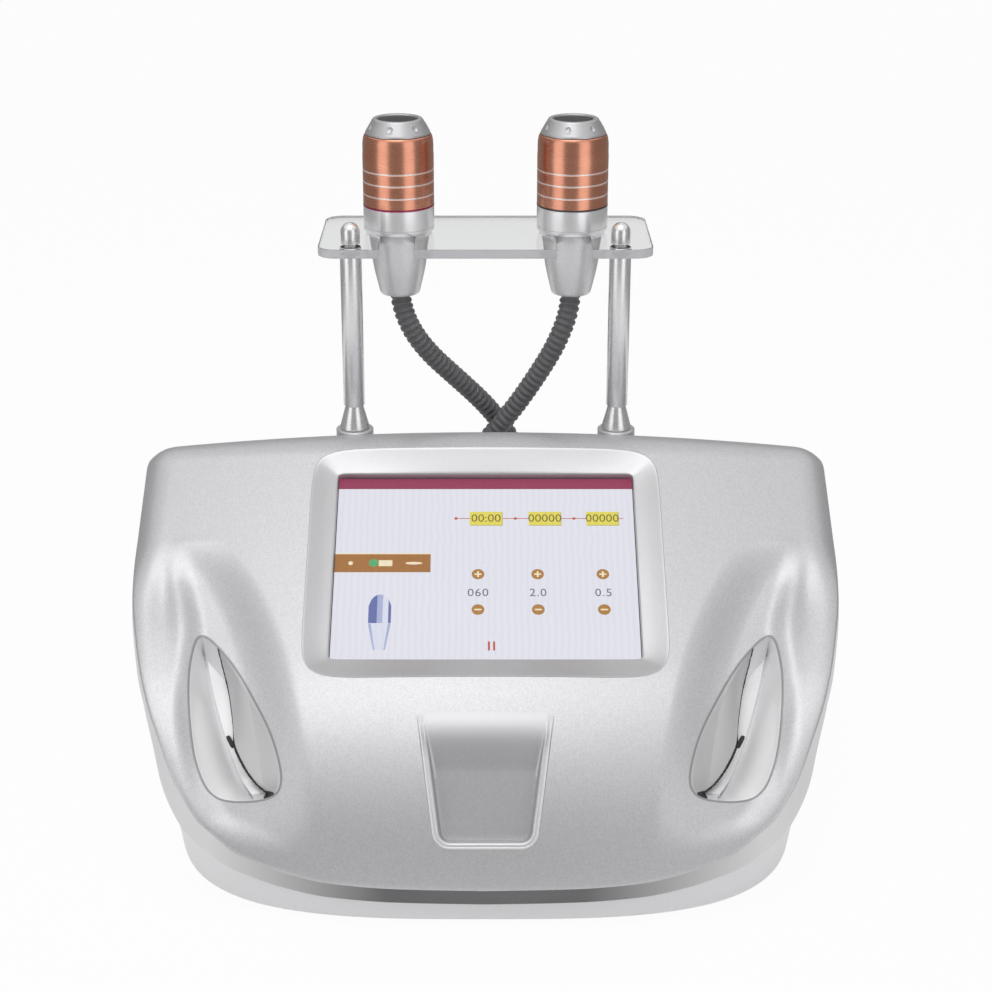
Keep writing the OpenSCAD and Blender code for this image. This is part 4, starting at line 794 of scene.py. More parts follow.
def tubRim(rear, up, more):
    wall = consoleShape["rimWall"]
    edge, inner = rimPlan(rear, 0), rimPlan(rear, wall)
    out = outwards(edge, -1 if rear else 1)
    flare, depth = bandSize(edge[:, 1])
    f = (up / (depth - wall))[:, None]
    q = (1 - f) * (edge + out * (flare - wall)[:, None]) + f * inner - out * (tubShape["gap"] + more)
    return skinPoint(q[:, 0], q[:, 1], -depth * (1 - f[:, 0]) - wall * f[:, 0])


def tubLoop(up, more):
    return np.vstack([tubRim(False, up, more), tubRim(True, up, more)[::-1]])


# Plan on the table: a rounded oblong, fuller in front, read by direction
def tubFoot(ring, inset, z):
    t = tubShape
    a = np.arctan2(ring[:, 1] - t["middleY"], ring[:, 0])
    front = np.sin(a) < 0
    power = np.where(front, t["frontPower"], t["rearPower"])
    b = np.where(front, t["front"] + t["middleY"], t["rear"] - t["middleY"]) - inset
    r = ((np.abs(np.cos(a)) / (t["halfWidth"] - inset)) ** power + (np.abs(np.sin(a)) / b) ** power) ** (-1 / power)
    return np.stack([r * np.cos(a), t["middleY"] + r * np.sin(a), np.full(len(a), float(z))], 1)


def makeTub():
    t = tubShape
    top, inside = tubLoop(0, 0), tubLoop(t["tuck"], 0)
    foot = tubFoot(inside, 0, t["foot"])
    rings = []
    for a in np.radians(t["roundDegrees"]):
        inset = tubFoot(inside, t["bottomRound"] * (1 - math.sin(a)), 0)
        up = t["bottomRound"] * (1 - math.cos(a))
        lift = (top - foot) * (up / np.maximum(top[:, 2:] - foot[:, 2:], 1))
        rings.append(np.column_stack([(lift + inset)[:, :2], np.full(len(foot), t["foot"] + up)]))
    last = rings[-1]
    rings += [last + (top - last) * w for w in t["wallAt"]]
    rings += [top, inside, tubLoop(t["tuck"], t["wall"]), tubLoop(0, t["wall"]),
              tubFoot(inside, t["wall"], t["foot"] + t["floor"])]
    points, caps = capEnds(np.vstack(rings), len(foot))
    makePiece("baseTub", points, gridFaces(len(rings), len(foot), True).tolist() + caps, "tubPaint", "silver_body",
              ["base_tub"], sharp=40)


makeTub()
print("tub made")


# Frame round the picture. Rows: share of the way inwards, height off the face, share of the crown.
bezelRows = [(0.0, -9.3, 1), (0.0, -1.0, 1), (0.002, -0.25, 1), (0.01, -0.08, 1), (0.04, -0.12, 1), (0.1, -0.52, 0.95),
             (0.5, -2.95, 0.6), (0.88, -5.3, 0.2), (0.96, -5.8, 0.05), (0.99, -6.1, 0), (1.0, -6.5, 0),
             (1.0, -9.3, 0)]


def onFace(p):
    return outOfPlane(np.asarray(p, float), faceMiddle, faceTurn)


def makeBezel():
    s = screenShape
    outer = bezelOutline(s["fit"], s["around"])
    inner = squarish(*(lcd / 2 + gap for lcd, gap in zip(s["lcd"], s["innerGap"])), s["inner"], s["around"])
    crown = -outer[:, 0] ** 2 / (2 * consoleShape["domeRadius"])
    rings = [onFace(np.column_stack([outer + (inner - outer) * w, z + crown * share])) for w, z, share in bezelRows]
    makePiece("screenBezel", np.vstack(rings), gridFaces(len(rings), len(outer), True, True), "bezelPaint",
              "bezel_silver", ["screen_bezel"], sharp=50)


# A lit colour on the display: two close shades in fine slanted ripples, as a display shows
def litFinish(name, colour):
    mat, tree, shader = newMaterial(name)
    shades = np.array(colour)
    wave = nodeOf(tree, "TexWave", {"Vector": objectPlace(tree), "Scale": 90, "Distortion": 2.5, "Detail": 1}, "Fac")
    setNode(tree, shader, {"Emission Color": mixed(tree, wave, colour, (shades * 0.97).tolist()),
                           "Base Color": mixed(tree, wave, (shades * 0.12).tolist(), (shades * 0.1).tolist()),
                           "Emission Strength": 0.9, "Roughness": 0.8, "Specular IOR Level": 0.05})
    return mat


litColours = {"White": (0.79, 0.79, 0.87), "Magenta": (0.3, 0.02, 0.08), "Yellow": (0.8, 0.7, 0.08),
              "Olive": (0.16, 0.13, 0.02), "Brown": (0.38, 0.15, 0.02), "Cream": (0.92, 0.8, 0.55),
              "Green": (0.08, 0.4, 0.14), "Gold": (0.43, 0.2, 0.03), "Ink": (0.12, 0.13, 0.18),
              "Red": (0.55, 0.07, 0.03), "Blue": (0.12, 0.15, 0.4), "PaleBlue": (0.4, 0.45, 0.68),
              "Frost": (0.72, 0.75, 0.88), "Dark": (0.05, 0.05, 0.06), "Shade": (0.55, 0.5, 0.2)}
paints.update({"lit" + name: litFinish("lit" + name, colour) for name, colour in litColours.items()})
# Height of each layer of the picture over the display, and height of a letter of size 1
layers = (-0.02, 0, 0.02, 0.035, 0.05, 0.06)
letterHeight = 0.7


# Flat shapes in millimetres from the middle of the display
class Drawing:
    def __init__(self, level):
        self.level = level
        self.points, self.faces, self.slots = [], [], []

    def add(self, outline, colour, layer):
        start = len(self.points)
        self.points += [(p[0], p[1], self.level + layers[layer]) for p in outline]
        self.faces.append(list(range(start, start + len(outline))))
        self.slots.append(list(litColours).index(colour))

    def draw(self, boxes, discs, x=0.0):
        for left, right, low, high, colour, layer in boxes:
            self.add([(x + left, low), (x + right, low), (x + right, high), (x + left, high)], colour, layer)
        t = np.linspace(0, fullTurn, 28, endpoint=False)
        for u, v, a, b, colour, layer in discs:
            self.add(np.stack([x + u + a * np.cos(t), v + b * np.sin(t)], 1).tolist(), colour, layer)

    # Numbers from Blender's own letter shapes, made a mesh and then placed
    def number(self, text, u, v, height, colour, layer, spread):
        curve = bpy.data.curves.new("number", "FONT")
        curve.body, curve.size = text, height / letterHeight
        curve.align_x, curve.align_y = "CENTER", "CENTER"
        curve.space_character, curve.resolution_u = spread, 3
        holder = addObject("number", curve)
        mesh = bpy.data.meshes.new_from_object(holder.evaluated_get(bpy.context.evaluated_depsgraph_get()))
        for face in mesh.polygons:
            places = [mesh.vertices[i].co for i in face.vertices]
            self.add([(u + p.x, v + p.y) for p in places], colour, layer)
        bpy.data.objects.remove(holder)
        bpy.data.curves.remove(curve)
        bpy.data.meshes.remove(mesh)


# Boxes give left, right, low and high; discs give their middle and half sizes; both end in colour and layer.
# Numbers give their height up the display, size, colour, layer and letter spacing.
pictureShape = {
    "boxes": [(-86, 86, -66, 66, "Dark", 0), (-81.2, 81.2, -60.9, 61.4, "White", 1),
              (-81.2, 81.2, 54.2, 61.4, "Magenta", 2), (-16.2, 75.5, 33.5, 33.95, "Red", 2),
              (-81.2, -29.6, -2.6, 9.4, "Brown", 2), (-81.2, -29.6, 9.4, 10.1, "Cream", 2),
              (-57.6, -50.2, 1.4, 5.4, "Cream", 3), (1.25, 2.35, -53, -47.3, "Red", 3),
              (3.95, 5.05, -53, -47.3, "Red", 3)],
    "discs": [(-16.2, 33.7, 0.9, 0.9, "Red", 3), (16.4, 33.7, 0.9, 0.9, "Red", 3), (48.5, 33.7, 0.9, 0.9, "Red", 3),
              (-72.7, 3.4, 1.3, 1.3, "Cream", 3), (-60.3, 3.6, 2.6, 2.6, "Green", 4),
              (-38.6, 3.4, 4.6, 0.9, "Cream", 3)],
    "counts": {0.3: "00:00", 32.5: "00000", 64.0: "00000"}, "countNumber": (33.7, 5.2, "Olive", 5, 1.0),
    "countBoxes": [(-8.6, 9.2, 28.7, 38.1, "Shade", 3), (-8.9, 8.6, 29.3, 38.3, "Yellow", 4)],
    "values": {-4.0: "060", 28.0: "2.0", 63.0: "0.5"}, "valueNumber": (-16.2, 5.0, "Ink", 3, 1.1),
    "valueBoxes": [(-1.9, 1.9, -4.4, -3.4, "Cream", 4), (-1.9, 1.9, -27.5, -26.5, "Cream", 4),
                   (-0.5, 0.5, -5.8, -2.0, "Cream", 4), (-9, 9, 3.6, 3.9, "Frost", 2)],
    "valueDiscs": [(0, -3.9, 3.4, 3.4, "Gold", 3), (0, -27.0, 3.4, 3.4, "Gold", 3)], "level": -10.57}
# The small handpiece mark: a domed top in upright shades over a pale tapered part
markShape = {"left": -62, "right": -50, "middle": -56, "reach": 6.2, "low": -35.7, "straight": 8.5, "dome": 10,
             "tipLow": -52.7, "tipHigh": -36.1, "taper": 0.52, "tipMiddle": -55.7,
             "shades": ("Blue", "Blue", "Blue", "PaleBlue", "PaleBlue", "Frost", "Frost", "Blue")}


def addMark(d, m):
    edges = np.linspace(m["left"], m["right"], len(m["shades"]) + 1)
    for k, colour in enumerate(m["shades"]):
        u = edges[k:k + 2]
        away = (u - m["middle"]) / m["reach"]
        top = m["low"] + m["straight"] + m["dome"] * np.sqrt(np.maximum(0, 1 - away ** 2))
        d.add([(u[0], m["low"]), (u[1], m["low"]), (u[1], top[1]), (u[0], top[0])], colour, 3)
        w = (u - m["middle"]) * m["taper"] + m["tipMiddle"]
        d.add([(w[0], m["tipLow"]), (w[1], m["tipLow"]), (u[1], m["tipHigh"]), (u[0], m["tipHigh"])],
              "PaleBlue" if k in (0, len(m["shades"]) - 1) else "Frost", 3)


def makePicture(p):
    d = Drawing(p["level"])
    d.draw(p["boxes"], p["discs"])
    for u, text in p["counts"].items():
        d.draw(p["countBoxes"], [], u)
        d.number(text, u, *p["countNumber"])
    for u, text in p["values"].items():
        d.draw(p["valueBoxes"], p["valueDiscs"], u)
        d.number(text, u, *p["valueNumber"])
    addMark(d, markShape)
    makePiece("screenPicture", onFace(d.points), d.faces, " ".join("lit" + name for name in litColours), "lcd",
              slots=d.slots, merge=0.0, turn=False)


makeBezel()
makePicture(pictureShape)
dressed("touch_glass", "screenGlass")
print("screen made")


# Inside a mouth: an outer wall that falls to a ridge line, a bright back strip, and a tongue in front of it.
# The ridge and the tongue give a distance from the middle by s. A fall is its depth, power, reach and start. A
# rise is its amount, where it starts and over what length. A slot is its place, half sizes and turn in degrees. The
# line is a painted shadow along the tongue's edge.
pocketShape = {"ridge": [(45, 117), (58, 125), (73, 131), (84, 134.5), (110, 141.5), (145, 150)],
               "tongue": [(45.5, 107.5), (49, 110), (54, 115.5), (64, 122.5), (80, 129), (93, 130.4), (119, 134.8),
                          (133, 139), (144, 142)],
               "wallFall": (15.0, 1.25, 3, 0.2), "tongueFall": (5.5, 1.6, 4, 0.15), "lip": 0.35,
               "stripDeep": 12.5, "stripRise": ((-4.5, 128, -40), (-3, 60, 14)), "stripSlope": 2.2,
               "tongueBlend": 0.35, "wallBlend": 0.5, "shadowLineAt": 0.3, "line": 0.2,
               "shadowLineRise": ((0.35, 88, 8), (-0.2, 70, 20)), "rings": 110, "around": 420, "crowd": 1.15,
               "spacing": 0.1, "rimInset": 0.003, "skirt": 4.5, "slotPower": 5, "slotAround": 32, "slotRings": 7,
               "slotProud": 0.5, "slotLow": 0.6, "slots": ((131.4, 81.5, 1.2, 4.2, 24), (109.4, 47.9, 2.5, 2.3, -14))}


# Depth that grows with a power of the way from the mouth's edge to a line inside it
def fallFrom(edge, rest, deep, power, reach, start):
    across = np.clip(edge / np.maximum(edge + rest, 1), 0, 1)
    return pocketShape["lip"] + deep * across ** power * smoothStep(edge / reach + start)


def withRises(value, rises, s):
    for amount, start, over in rises:
        value = value + amount * smoothStep((start - s) / over)
    return value


# Depth below the scooped skin, and which part a point belongs to: 0 wall or strip, 1 tongue, 2 a painted shadow line
# along the tongue's edge
def pocketDepth(u, s):
    p = pocketShape
    edge = np.abs(outlineDistance(np.stack([u, s], -1), mouthOutline))
    outer = u - softLookup(s, p["ridge"])
    inner = softLookup(s, p["tongue"]) - u
    wall, tongue = fallFrom(edge, outer, *p["wallFall"]), fallFrom(edge, inner, *p["tongueFall"])
    strip = np.minimum(withRises(p["stripDeep"], p["stripRise"], s), p["lip"] + edge * p["stripSlope"])
    onTongue, onWall = (smoothStep((past + soft) / (2 * soft)) for past, soft in
                        ((inner, p["tongueBlend"]), (outer, p["wallBlend"])))
    deep = strip * (1 - onTongue) * (1 - onWall) + tongue * onTongue + wall * onWall * (1 - onTongue)
    # A black line along the tongue's edge is a painted shadow of its overhang
    paintedShade = np.abs(inner + p["shadowLineAt"]) < withRises(p["line"], p["shadowLineRise"], s)
    return deep, np.where(paintedShade, 2, np.where(inner > 0, 1, 0))


def pocketSurface(side, u, s, lift=0.0):
    deep, part = pocketDepth(u, s)
    return skinPoint(side * u, s, lift - deep, True), part


def makeHolster(name, side):
    p = pocketShape
    line = evenly(np.vstack([mouthOutline, mouthOutline[:1]]), p["spacing"])
    line = line[np.linspace(0, len(line) - 1, p["around"], endpoint=False).astype(int)]
    line = line + (mouthMiddle - line) * p["rimInset"]
    w = 1 - (1 - np.linspace(1, 0, p["rings"] + 1)) ** p["crowd"]
    grid = mouthMiddle + (line - mouthMiddle)[None] * w[:, None, None]
    points, part = pocketSurface(side, grid[..., 0], grid[..., 1])
    skirt = skinPoint(side * line[:, 0], line[:, 1], -p["skirt"], True)
    faces = gridFaces(len(w), p["around"], True)
    slots = np.concatenate([np.zeros(p["around"], int), part.reshape(-1)[faces].max(1)])
    makePiece(name + "Holster", np.vstack([skirt, points.reshape(-1, 3)]), gridFaces(len(w) + 1, p["around"], True),
              "pocketGloss tongueGloss blackRubber", "silver_body", [name + "_holster"], sharp=42, slots=slots)


# Dark slots in a pocket: small black patches that lie just proud of it, painted shade standing for the dark inside the
# deep slots
def makePocketSlots(name, side):
    p = pocketShape
    points, faces = [], []
    w = np.linspace(1, 0, p["slotRings"])
    for k, (u0, s0, a, b, turn) in enumerate(p["slots"]):
        c, n = math.cos(math.radians(turn)), math.sin(math.radians(turn))
        x, y = squarish(a, b, p["slotPower"], p["slotAround"]).T
        u, s = u0 + np.outer(w, x * c + y * n), s0 + np.outer(w, y * c - x * n)
        points += [pocketSurface(side, u[:1], s[:1], -p["slotLow"])[0], pocketSurface(side, u, s, p["slotProud"])[0]]
        rows = len(w) + 1
        faces.append(gridFaces(rows, p["slotAround"], True) + k * rows * p["slotAround"])
    makePiece(name + "PocketSlots", np.vstack([part.reshape(-1, 3) for part in points]), np.vstack(faces),
              "blackRubber", "rubber", sharp=40)


seamShape = {"spacing": 1.0, "sides": 8, "halfWidth": 0.55, "halfHeight": 0.28, "sunk": 0.02}


# A fine soft line that closes the seam round each mouth
def makeMouthSeam(name, side, p):
    line = evenly(np.vstack([mouthOutline, mouthOutline[:1]]), p["spacing"])[:-1]
    a = np.linspace(0, fullTurn, p["sides"], endpoint=False)[:, None]
    step = np.roll(line, -1, 0) - np.roll(line, 1, 0)
    out = np.stack([step[:, 1], -step[:, 0]], 1) / np.linalg.norm(step, axis=1)[:, None]
    q = line[None] + p["halfWidth"] * np.cos(a)[..., None] * out[None]
    points = skinPoint(side * q[..., 0], q[..., 1], p["halfHeight"] * np.sin(a) - p["sunk"], True)
    makePiece(name + "MouthSeam", points, gridFaces(len(a), len(line), True, True), "seamGrey", "silver_body")


sides = (("left", -1), ("right", 1))
for sideName, side in sides:
    makeHolster(sideName, side)
    makePocketSlots(sideName, side)
for sideName, side in sides:
    makeMouthSeam(sideName, side, seamShape)
print("holsters made")

# Tray rim, from the seam inwards: distance inwards, height over the skin, share of the way down to the floor
trayRows = ((0, -3.5, 0), (0.02, -0.15, 0), (0.3, 0.2, 0), (0.75, 0.4, 0), (1.2, 0.2, 0), (1.5, -0.35, 0),
            (1.7, -0.5, 0), (1.9, -0.35, 0), (2.2, 0.15, 0), (2.65, 0.4, 0), (3.1, 0.15, 0), (3.4, -0.5, 0),
            (3.6, 0.0, 0.25), (4.0, 0.0, 0.72), (4.6, 0.0, 0.93), (6.0, 0.0, 1.0))


# A rim carried round its U-shaped outline, up to a double bead and down to the floor, and a floor
def makeTray():
    c, t = consoleShape, trayShape
    lip = math.radians(c["lipAngle"])
    axis = np.array([0, c["lip"][0] + c["lipRadius"] * math.sin(lip), c["lip"][1] - c["lipRadius"] * math.cos(lip)])
    axisY, axisZ = intoPlane(axis, trayLow, trayTurn)[1:]

    # The skin over the tray's plane: a circle along it, and the crown x^2 / (2 radius) across
    def skinHeight(x, y):
        return axisZ + np.sqrt(c["lipRadius"] ** 2 - (y - axisY) ** 2) - x * x / (2 * c["domeRadius"])

    # The floor leaves the skin gently at its top, then runs straight
    def floorHeight(x, y):
        return (skinHeight(x, y) + t["proud"]) * smoothStep((y - trayLength + t["leave"]) / t["leave"])

    outline = trayOutline(t["gap"])
    outline[:2, 1] += t["topMore"]
    line = evenly(np.vstack([outline[1:], outline[:1]]), t["spacing"])
    step = np.gradient(line, axis=0)
    inward = np.stack([-step[:, 1], step[:, 0]], 1) / np.linalg.norm(step, axis=1)[:, None]
    fade = 1 - smoothStep((line[:, 1] - trayLength + t["fadeFrom"]) / t["fadeOver"])
    rows = []
    for inset, lift, down in trayRows:
        q = line + inward * inset
        top = skinHeight(q[:, 0], q[:, 1]) + t["proud"] * (1 - fade)
        if down:
            under = floorHeight(q[:, 0], q[:, 1])
            z = under + np.maximum(top - t["grooveDrop"] * fade - under, 0) * (1 - down) ** t["fallPower"]
        else:
            z = top + lift * fade if inset else top + lift
        rows.append(np.column_stack([q, z]))
    inner = line + inward * trayRows[-1][0]
    half = int(np.argmax(inner[:, 1] < t["footFrom"])) + 1
    across = np.linspace(0, 1, t["across"])[None, :, None]
    floor = inner[:half, None] * (1 - across) + inner[::-1][:half, None] * across
    bottom = np.concatenate([floor, floorHeight(floor[..., 0], floor[..., 1])[..., None]], -1)
    foot = inner[half - 1:len(inner) - half + 1]
    points = [np.vstack(rows), bottom.reshape(-1, 3), np.column_stack([foot, np.zeros(len(foot))])]
    start = len(points[0])
    faces = np.vstack([gridFaces(len(rows), len(line)), gridFaces(half, across.size) + start]).tolist()
    start += len(points[1])
    faces.append(list(range(start, start + len(foot))))
    slots = np.zeros(len(faces), int)
    # Bead rows take the second material, whose pale colour is a painted highlight
    slots[:t["beadRows"] * (len(line) - 1)] = 1
    makePiece("centreTray", outOfPlane(np.vstack(points), trayLow, trayTurn), faces, "trayPaint beadPaint",
              "silver_body", ["centre_tray"], sharp=50, slots=slots, merge=0.05)


makeTray()
print("tray made")

# Clear plate on two posts, with a dome nut on each
rackShape = {"postX": 74.75, "postY": 81.0, "seatDrop": 1.4, "seatRadius": 10.6, "seatS": 12.0, "postRadius": 6.0,
             "plateTop": 297.0, "plate": 5.0, "nutRadius": 5.3, "nutHeight": 12.0, "footRadius": 8.4,
             "neckRadius": 5.0, "footLength": 13.5, "stud": 12.0, "studRadius": 3.0, "seatHole": 3.2,
             "seatDeep": 14.0, "nutHole": 3.05, "nutDeep": 7.0}


def makeRack(r):
    seat = float(skinPoint(r["postX"], crestStart + r["seatS"])[2]) - r["seatDrop"]
    h = r["plateTop"] - r["plate"] - seat
    foot, neck, length, post = r["footRadius"], r["neckRadius"], r["footLength"], r["postRadius"]
    stud, width, pad, nut, deep = r["stud"], r["studRadius"], r["seatRadius"], r["nutRadius"], -r["seatDeep"]
    seatHole, nutHole = r["seatHole"], r["nutHole"]
    postProfile = [(0, -stud), (width, -stud), (width, 0), (foot - 0.4, 0), (foot, 0.5), (foot - 0.1, 1.2),
                   (neck, length), (neck, length + 0.3), (post - 0.3, length + 0.35), (post, length + 0.8),
                   (post, h - 0.4), (post - 0.4, h), (width, h), (width, h + stud), (0, h + stud)]
    padProfile = [(seatHole, -0.02), (pad - 0.6, -0.02), (pad, -0.6), (pad, deep), (seatHole, deep),
                  (seatHole, -0.02)]
    a = np.radians(np.linspace(0, 90, 16))
    nutProfile = [(0, r["nutDeep"]), (nutHole, r["nutDeep"]), (nutHole, 0), (nut - 0.3, 0), (nut, 0.3)]
    nutProfile += list(zip(nut * np.cos(a), r["nutHeight"] - nut + nut * np.sin(a)))
    for name, side in sides:
        place = (side * r["postX"], r["postY"], seat)
        makePiece(name + "Post", *turned(postProfile, place), "postMetal", "post_silver", [name + "_post"])
        makePiece(name + "PostSeat", *turned(padProfile, place), "silverPaint", "silver_body")
    (left, faces), (right, _) = (turned(nutProfile, (side * r["postX"], r["postY"], r["plateTop"]))
                                 for _, side in sides)
    makePiece("domeNuts", np.vstack([left, right]), np.vstack([faces, faces + len(left)]), "postMetal",
              "post_silver", ["dome_nuts"])
    plate = dressed("rack_plate", "acrylic acrylicEdge", bevel=0.5, sharp=30, pieceName="rackPlate").data
    normals = np.zeros(len(plate.polygons) * 3)
    plate.polygons.foreach_get("normal", normals)
    setSlots(plate, np.abs(normals[2::3]) < 0.5)


makeRack(rackShape)
print("rack made")

# Handpieces: heights above the rack. The sleeve's lines, the ring's dimples and the window are on top.
handShape = {"x": 49.0, "y": 113.0, "top": 297.0, "radius": 20.0, "inner": 17.2, "collar": 14.6, "accent": 0.7,
             "sleeveTop": 55.0, "neck": 18.3, "ring": 8.5, "window": 11.3, "windowLow": 3.0,
             "lines": (21.7, 28.7, 35.3), "lineHeight": 0.85, "lineDepth": 0.25, "bevelLine": 44.0,
             "bevelDeep": 0.12, "round": 7.0, "roundHigh": 6.8, "mouth": 15.6, "mouthDeep": 8.0,
             "dimples": 7, "dimpleRadius": 1.5, "dimpleZ": 4.6, "dimpleDeep": 0.75, "dimpleAt": 16.2,
             "dimplePower": 0.7, "rimHeight": 0.16, "rimAt": 1.15, "ringAround": 280, "wallPoints": 60,
             "wallRound": 0.5, "around": 128}


# Copper sleeve: straight, with engraved lines, then drawn in over a quarter ellipse
def sleeveProfile(h):
    r, d, low, top = h["radius"], h["lineDepth"], h["collar"] + h["accent"], h["sleeveTop"]
    bevelled, mouthLow = r - h["bevelDeep"], top - h["mouthDeep"]
    out = [(h["inner"], low), (r - d, low), (r, low + d)]
    for z in h["lines"]:
        a, b = z - h["lineHeight"] / 2, z + h["lineHeight"] / 2
        out += [(r, a - 0.1), (r - 0.1, a), (r - d, a + 0.05), (r - d, b - 0.05), (r - 0.1, b), (r, b + 0.1)]
    out += [(r, h["bevelLine"] - 0.3), (bevelled, h["bevelLine"])]
    t = np.radians(np.linspace(0, 90, 20))
    out += list(zip(h["neck"] + (bevelled - h["neck"]) * np.cos(t), top - h["round"] + h["roundHigh"] * np.sin(t)))
    return out + [(h["mouth"], top), (h["mouth"], mouthLow), (h["inner"], mouthLow), (h["inner"], low)]


# Corners of a profile rounded: each inner point is cut back and replaced by a short curve
def rounded(profile, radius, steps=3):
    p = np.array(profile, float)
    out = [p[0]]
    for a, b, c in zip(p[:-2], p[1:-1], p[2:]):
        toA, toC = np.linalg.norm(a - b), np.linalg.norm(c - b)
        cut = min(radius, toA * 0.45, toC * 0.45)
        start, end = b + (a - b) / toA * cut, b + (c - b) / toC * cut
        t = np.linspace(0, 1, steps + 1)[:, None]
        out.extend((1 - t) ** 2 * start + 2 * t * (1 - t) * b + t ** 2 * end)
    return np.array(out + [p[-1]])


# Grip ring: a short cone whose side is pressed in by round thumb dimples. With d2 the squared distance from
# a dimple's middle over its radius, the press is deep (1 - d2)^0.7, with a low rim round it.
def makeGripRing(name, centre, body, stands, h):
    top, neck, window, count = h["ring"], h["neck"], h["window"], h["ringAround"]
    wall = rounded([(neck, 0.1), (neck, 0.3), (neck - 0.15, 1.0), (14.3, top - 0.9), (14.0, top - 0.4),
                    (13.5, top), (window + 0.5, top)], h["wallRound"])
    wall = evenly(wall, count=h["wallPoints"])
    profile = np.vstack([wall, [(window + 0.2, top - 0.3), (window + 0.1, top - 3), (10.2, top - 3),
                                (10.2, top - 4.2), (11.2, top - 4.2), (11.2, -6), (15.5, -6), (15.5, 0.1),
                                (neck, 0.1)]])
    a = np.linspace(0, fullTurn, count, endpoint=False)
    period = fullTurn / h["dimples"]
    off = (a + period / 2) % period - period / 2
    z = profile[:, 1:]
    d2 = ((off * h["dimpleAt"]) ** 2 + (z - h["dimpleZ"]) ** 2) / h["dimpleRadius"] ** 2
    press = h["dimpleDeep"] * np.clip(1 - d2, 0, 1) ** h["dimplePower"]
    press -= h["rimHeight"] * np.exp(-((np.sqrt(d2) - h["rimAt"]) / h["rimHeight"]) ** 2)
    press[len(wall):] = 0
    r = profile[:, :1] - press
    points = np.stack([centre[0] + r * np.cos(a), centre[1] + r * np.sin(a), centre[2] + z + 0 * a], -1)
    makePiece(name, points, gridFaces(len(profile), count, True), "ringSilver", "collar_silver", stands, body,
              sharp=48)


def makeHandpiece(name, side, h, accent, accentSlot):
    body, head = name + "_handpiece", name + "_head"
    c = (side * h["x"], h["y"], h["top"])
    r, inner, low, high = h["radius"], h["inner"], h["collar"], h["collar"] + h["accent"]
    outer = curveThrough([(11.6, -35), (14.6, -22), (16.6, -9), (17.3, -4.4)], 8)
    tail = [(0, -26), (6.3, -26), (6.3, -37), (9.8, -37), (10.7, -36.7), (11.2, -36.1), *outer, (17.3, 0), (0, 0)]
    collar = [(0, 0), (r - 0.9, 0), (r - 0.35, 0.35), (r - 0.1, 1.0), (r - 0.1, 2.6), (r - 0.45, 2.8),
              (r - 0.45, 3.2), (r, 3.4), (r, low - 0.3), (r - 0.3, low), (inner, low), (inner, 2), (0, 2)]
    ring = [(inner, low), (r + 0.05, low), (r + 0.1, low + 0.15), (r + 0.1, high - 0.15), (r + 0.05, high),
            (inner, high), (inner, low)]
    w, base = h["window"], h["sleeveTop"] + h["ring"] - h["windowLow"]
    glass = [(0, base), (w, base), (w, base + 1.7), (w - 0.3, base + 2.1), (w - 0.9, base + 2.3),
             (w - 1.1, base + 2.15), (w - 1.4, base + 2.15), (w - 1.6, base + 2.35), (w * 0.5, base + 2.5),
             (0, base + 2.55)]
    points, faces = turned(sleeveProfile(h), c, h["around"])
    middle = points[faces].mean(1) - c
    slots = np.zeros(len(faces), int)
    for z in h["lines"]:
        slots[(np.abs(middle[:, 2] - z) < h["lineHeight"] / 2) & (np.hypot(middle[:, 0], middle[:, 1]) > r - 1)] = 1
    parts = (("HandTail", "_hand_tail", turned(tail, c), "tailSilver", "tail_silver", None),
             ("HandCollar", "_hand_collar", turned(collar, c, h["around"]), "collarSilver", "collar_silver", None),
             ("HandAccent", "_hand_accent", turned(ring, c, h["around"]), accent, accentSlot, None),
             ("HandSleeve", "_hand_sleeve", (points, faces), "copperMetal lineWhite", "copper", slots))
    for ending, node, shape, material, slotName, slots in parts:
        makePiece(name + ending, *shape, material, slotName, [name + node], body, slots=slots)
    makeGripRing(name + "GripRing", (c[0], c[1], c[2] + h["sleeveTop"]), head, [name + "_grip_ring"], h)
    makePiece(name + "HandWindow", *turned(glass, c), "darkWindow", "window_dark", [name + "_hand_window"], head)


makeHandpiece("left", -1, handShape, "accentPink", "accent_pink")
makeHandpiece("right", 1, handShape, "accentGrey", "accent_grey")
print("handpieces made")

# Parts at the back and under the case: material, bevel, and the angle that stays sharp
rearFinishes = {"rear_panel": ("panelPaint", 0.3, 32), "fan_frame": ("blackPlastic", 0.4, 32),
                "fan_impeller": ("blackPlastic", 0.2, 32), "fan_guard": ("steel", 0.3, 32),
                "fan_screws": ("steel", 0, 25), "rocker_switch": ("redPlastic", 0.3, 32),
                "fuse_drawer": ("blackPlastic", 0.4, 32), "left_socket": ("steel", 0, 25),
                "right_socket": ("steel", 0, 25), "rubber_feet": ("blackRubber", 0, 25),
                "case_screws": ("steel", 0, 25), "mains_inlet": ("blackPlastic brass", 0.3, 32)}
rearPieces = {name: dressed(name, *finishes) for name, finishes in rearFinishes.items()}
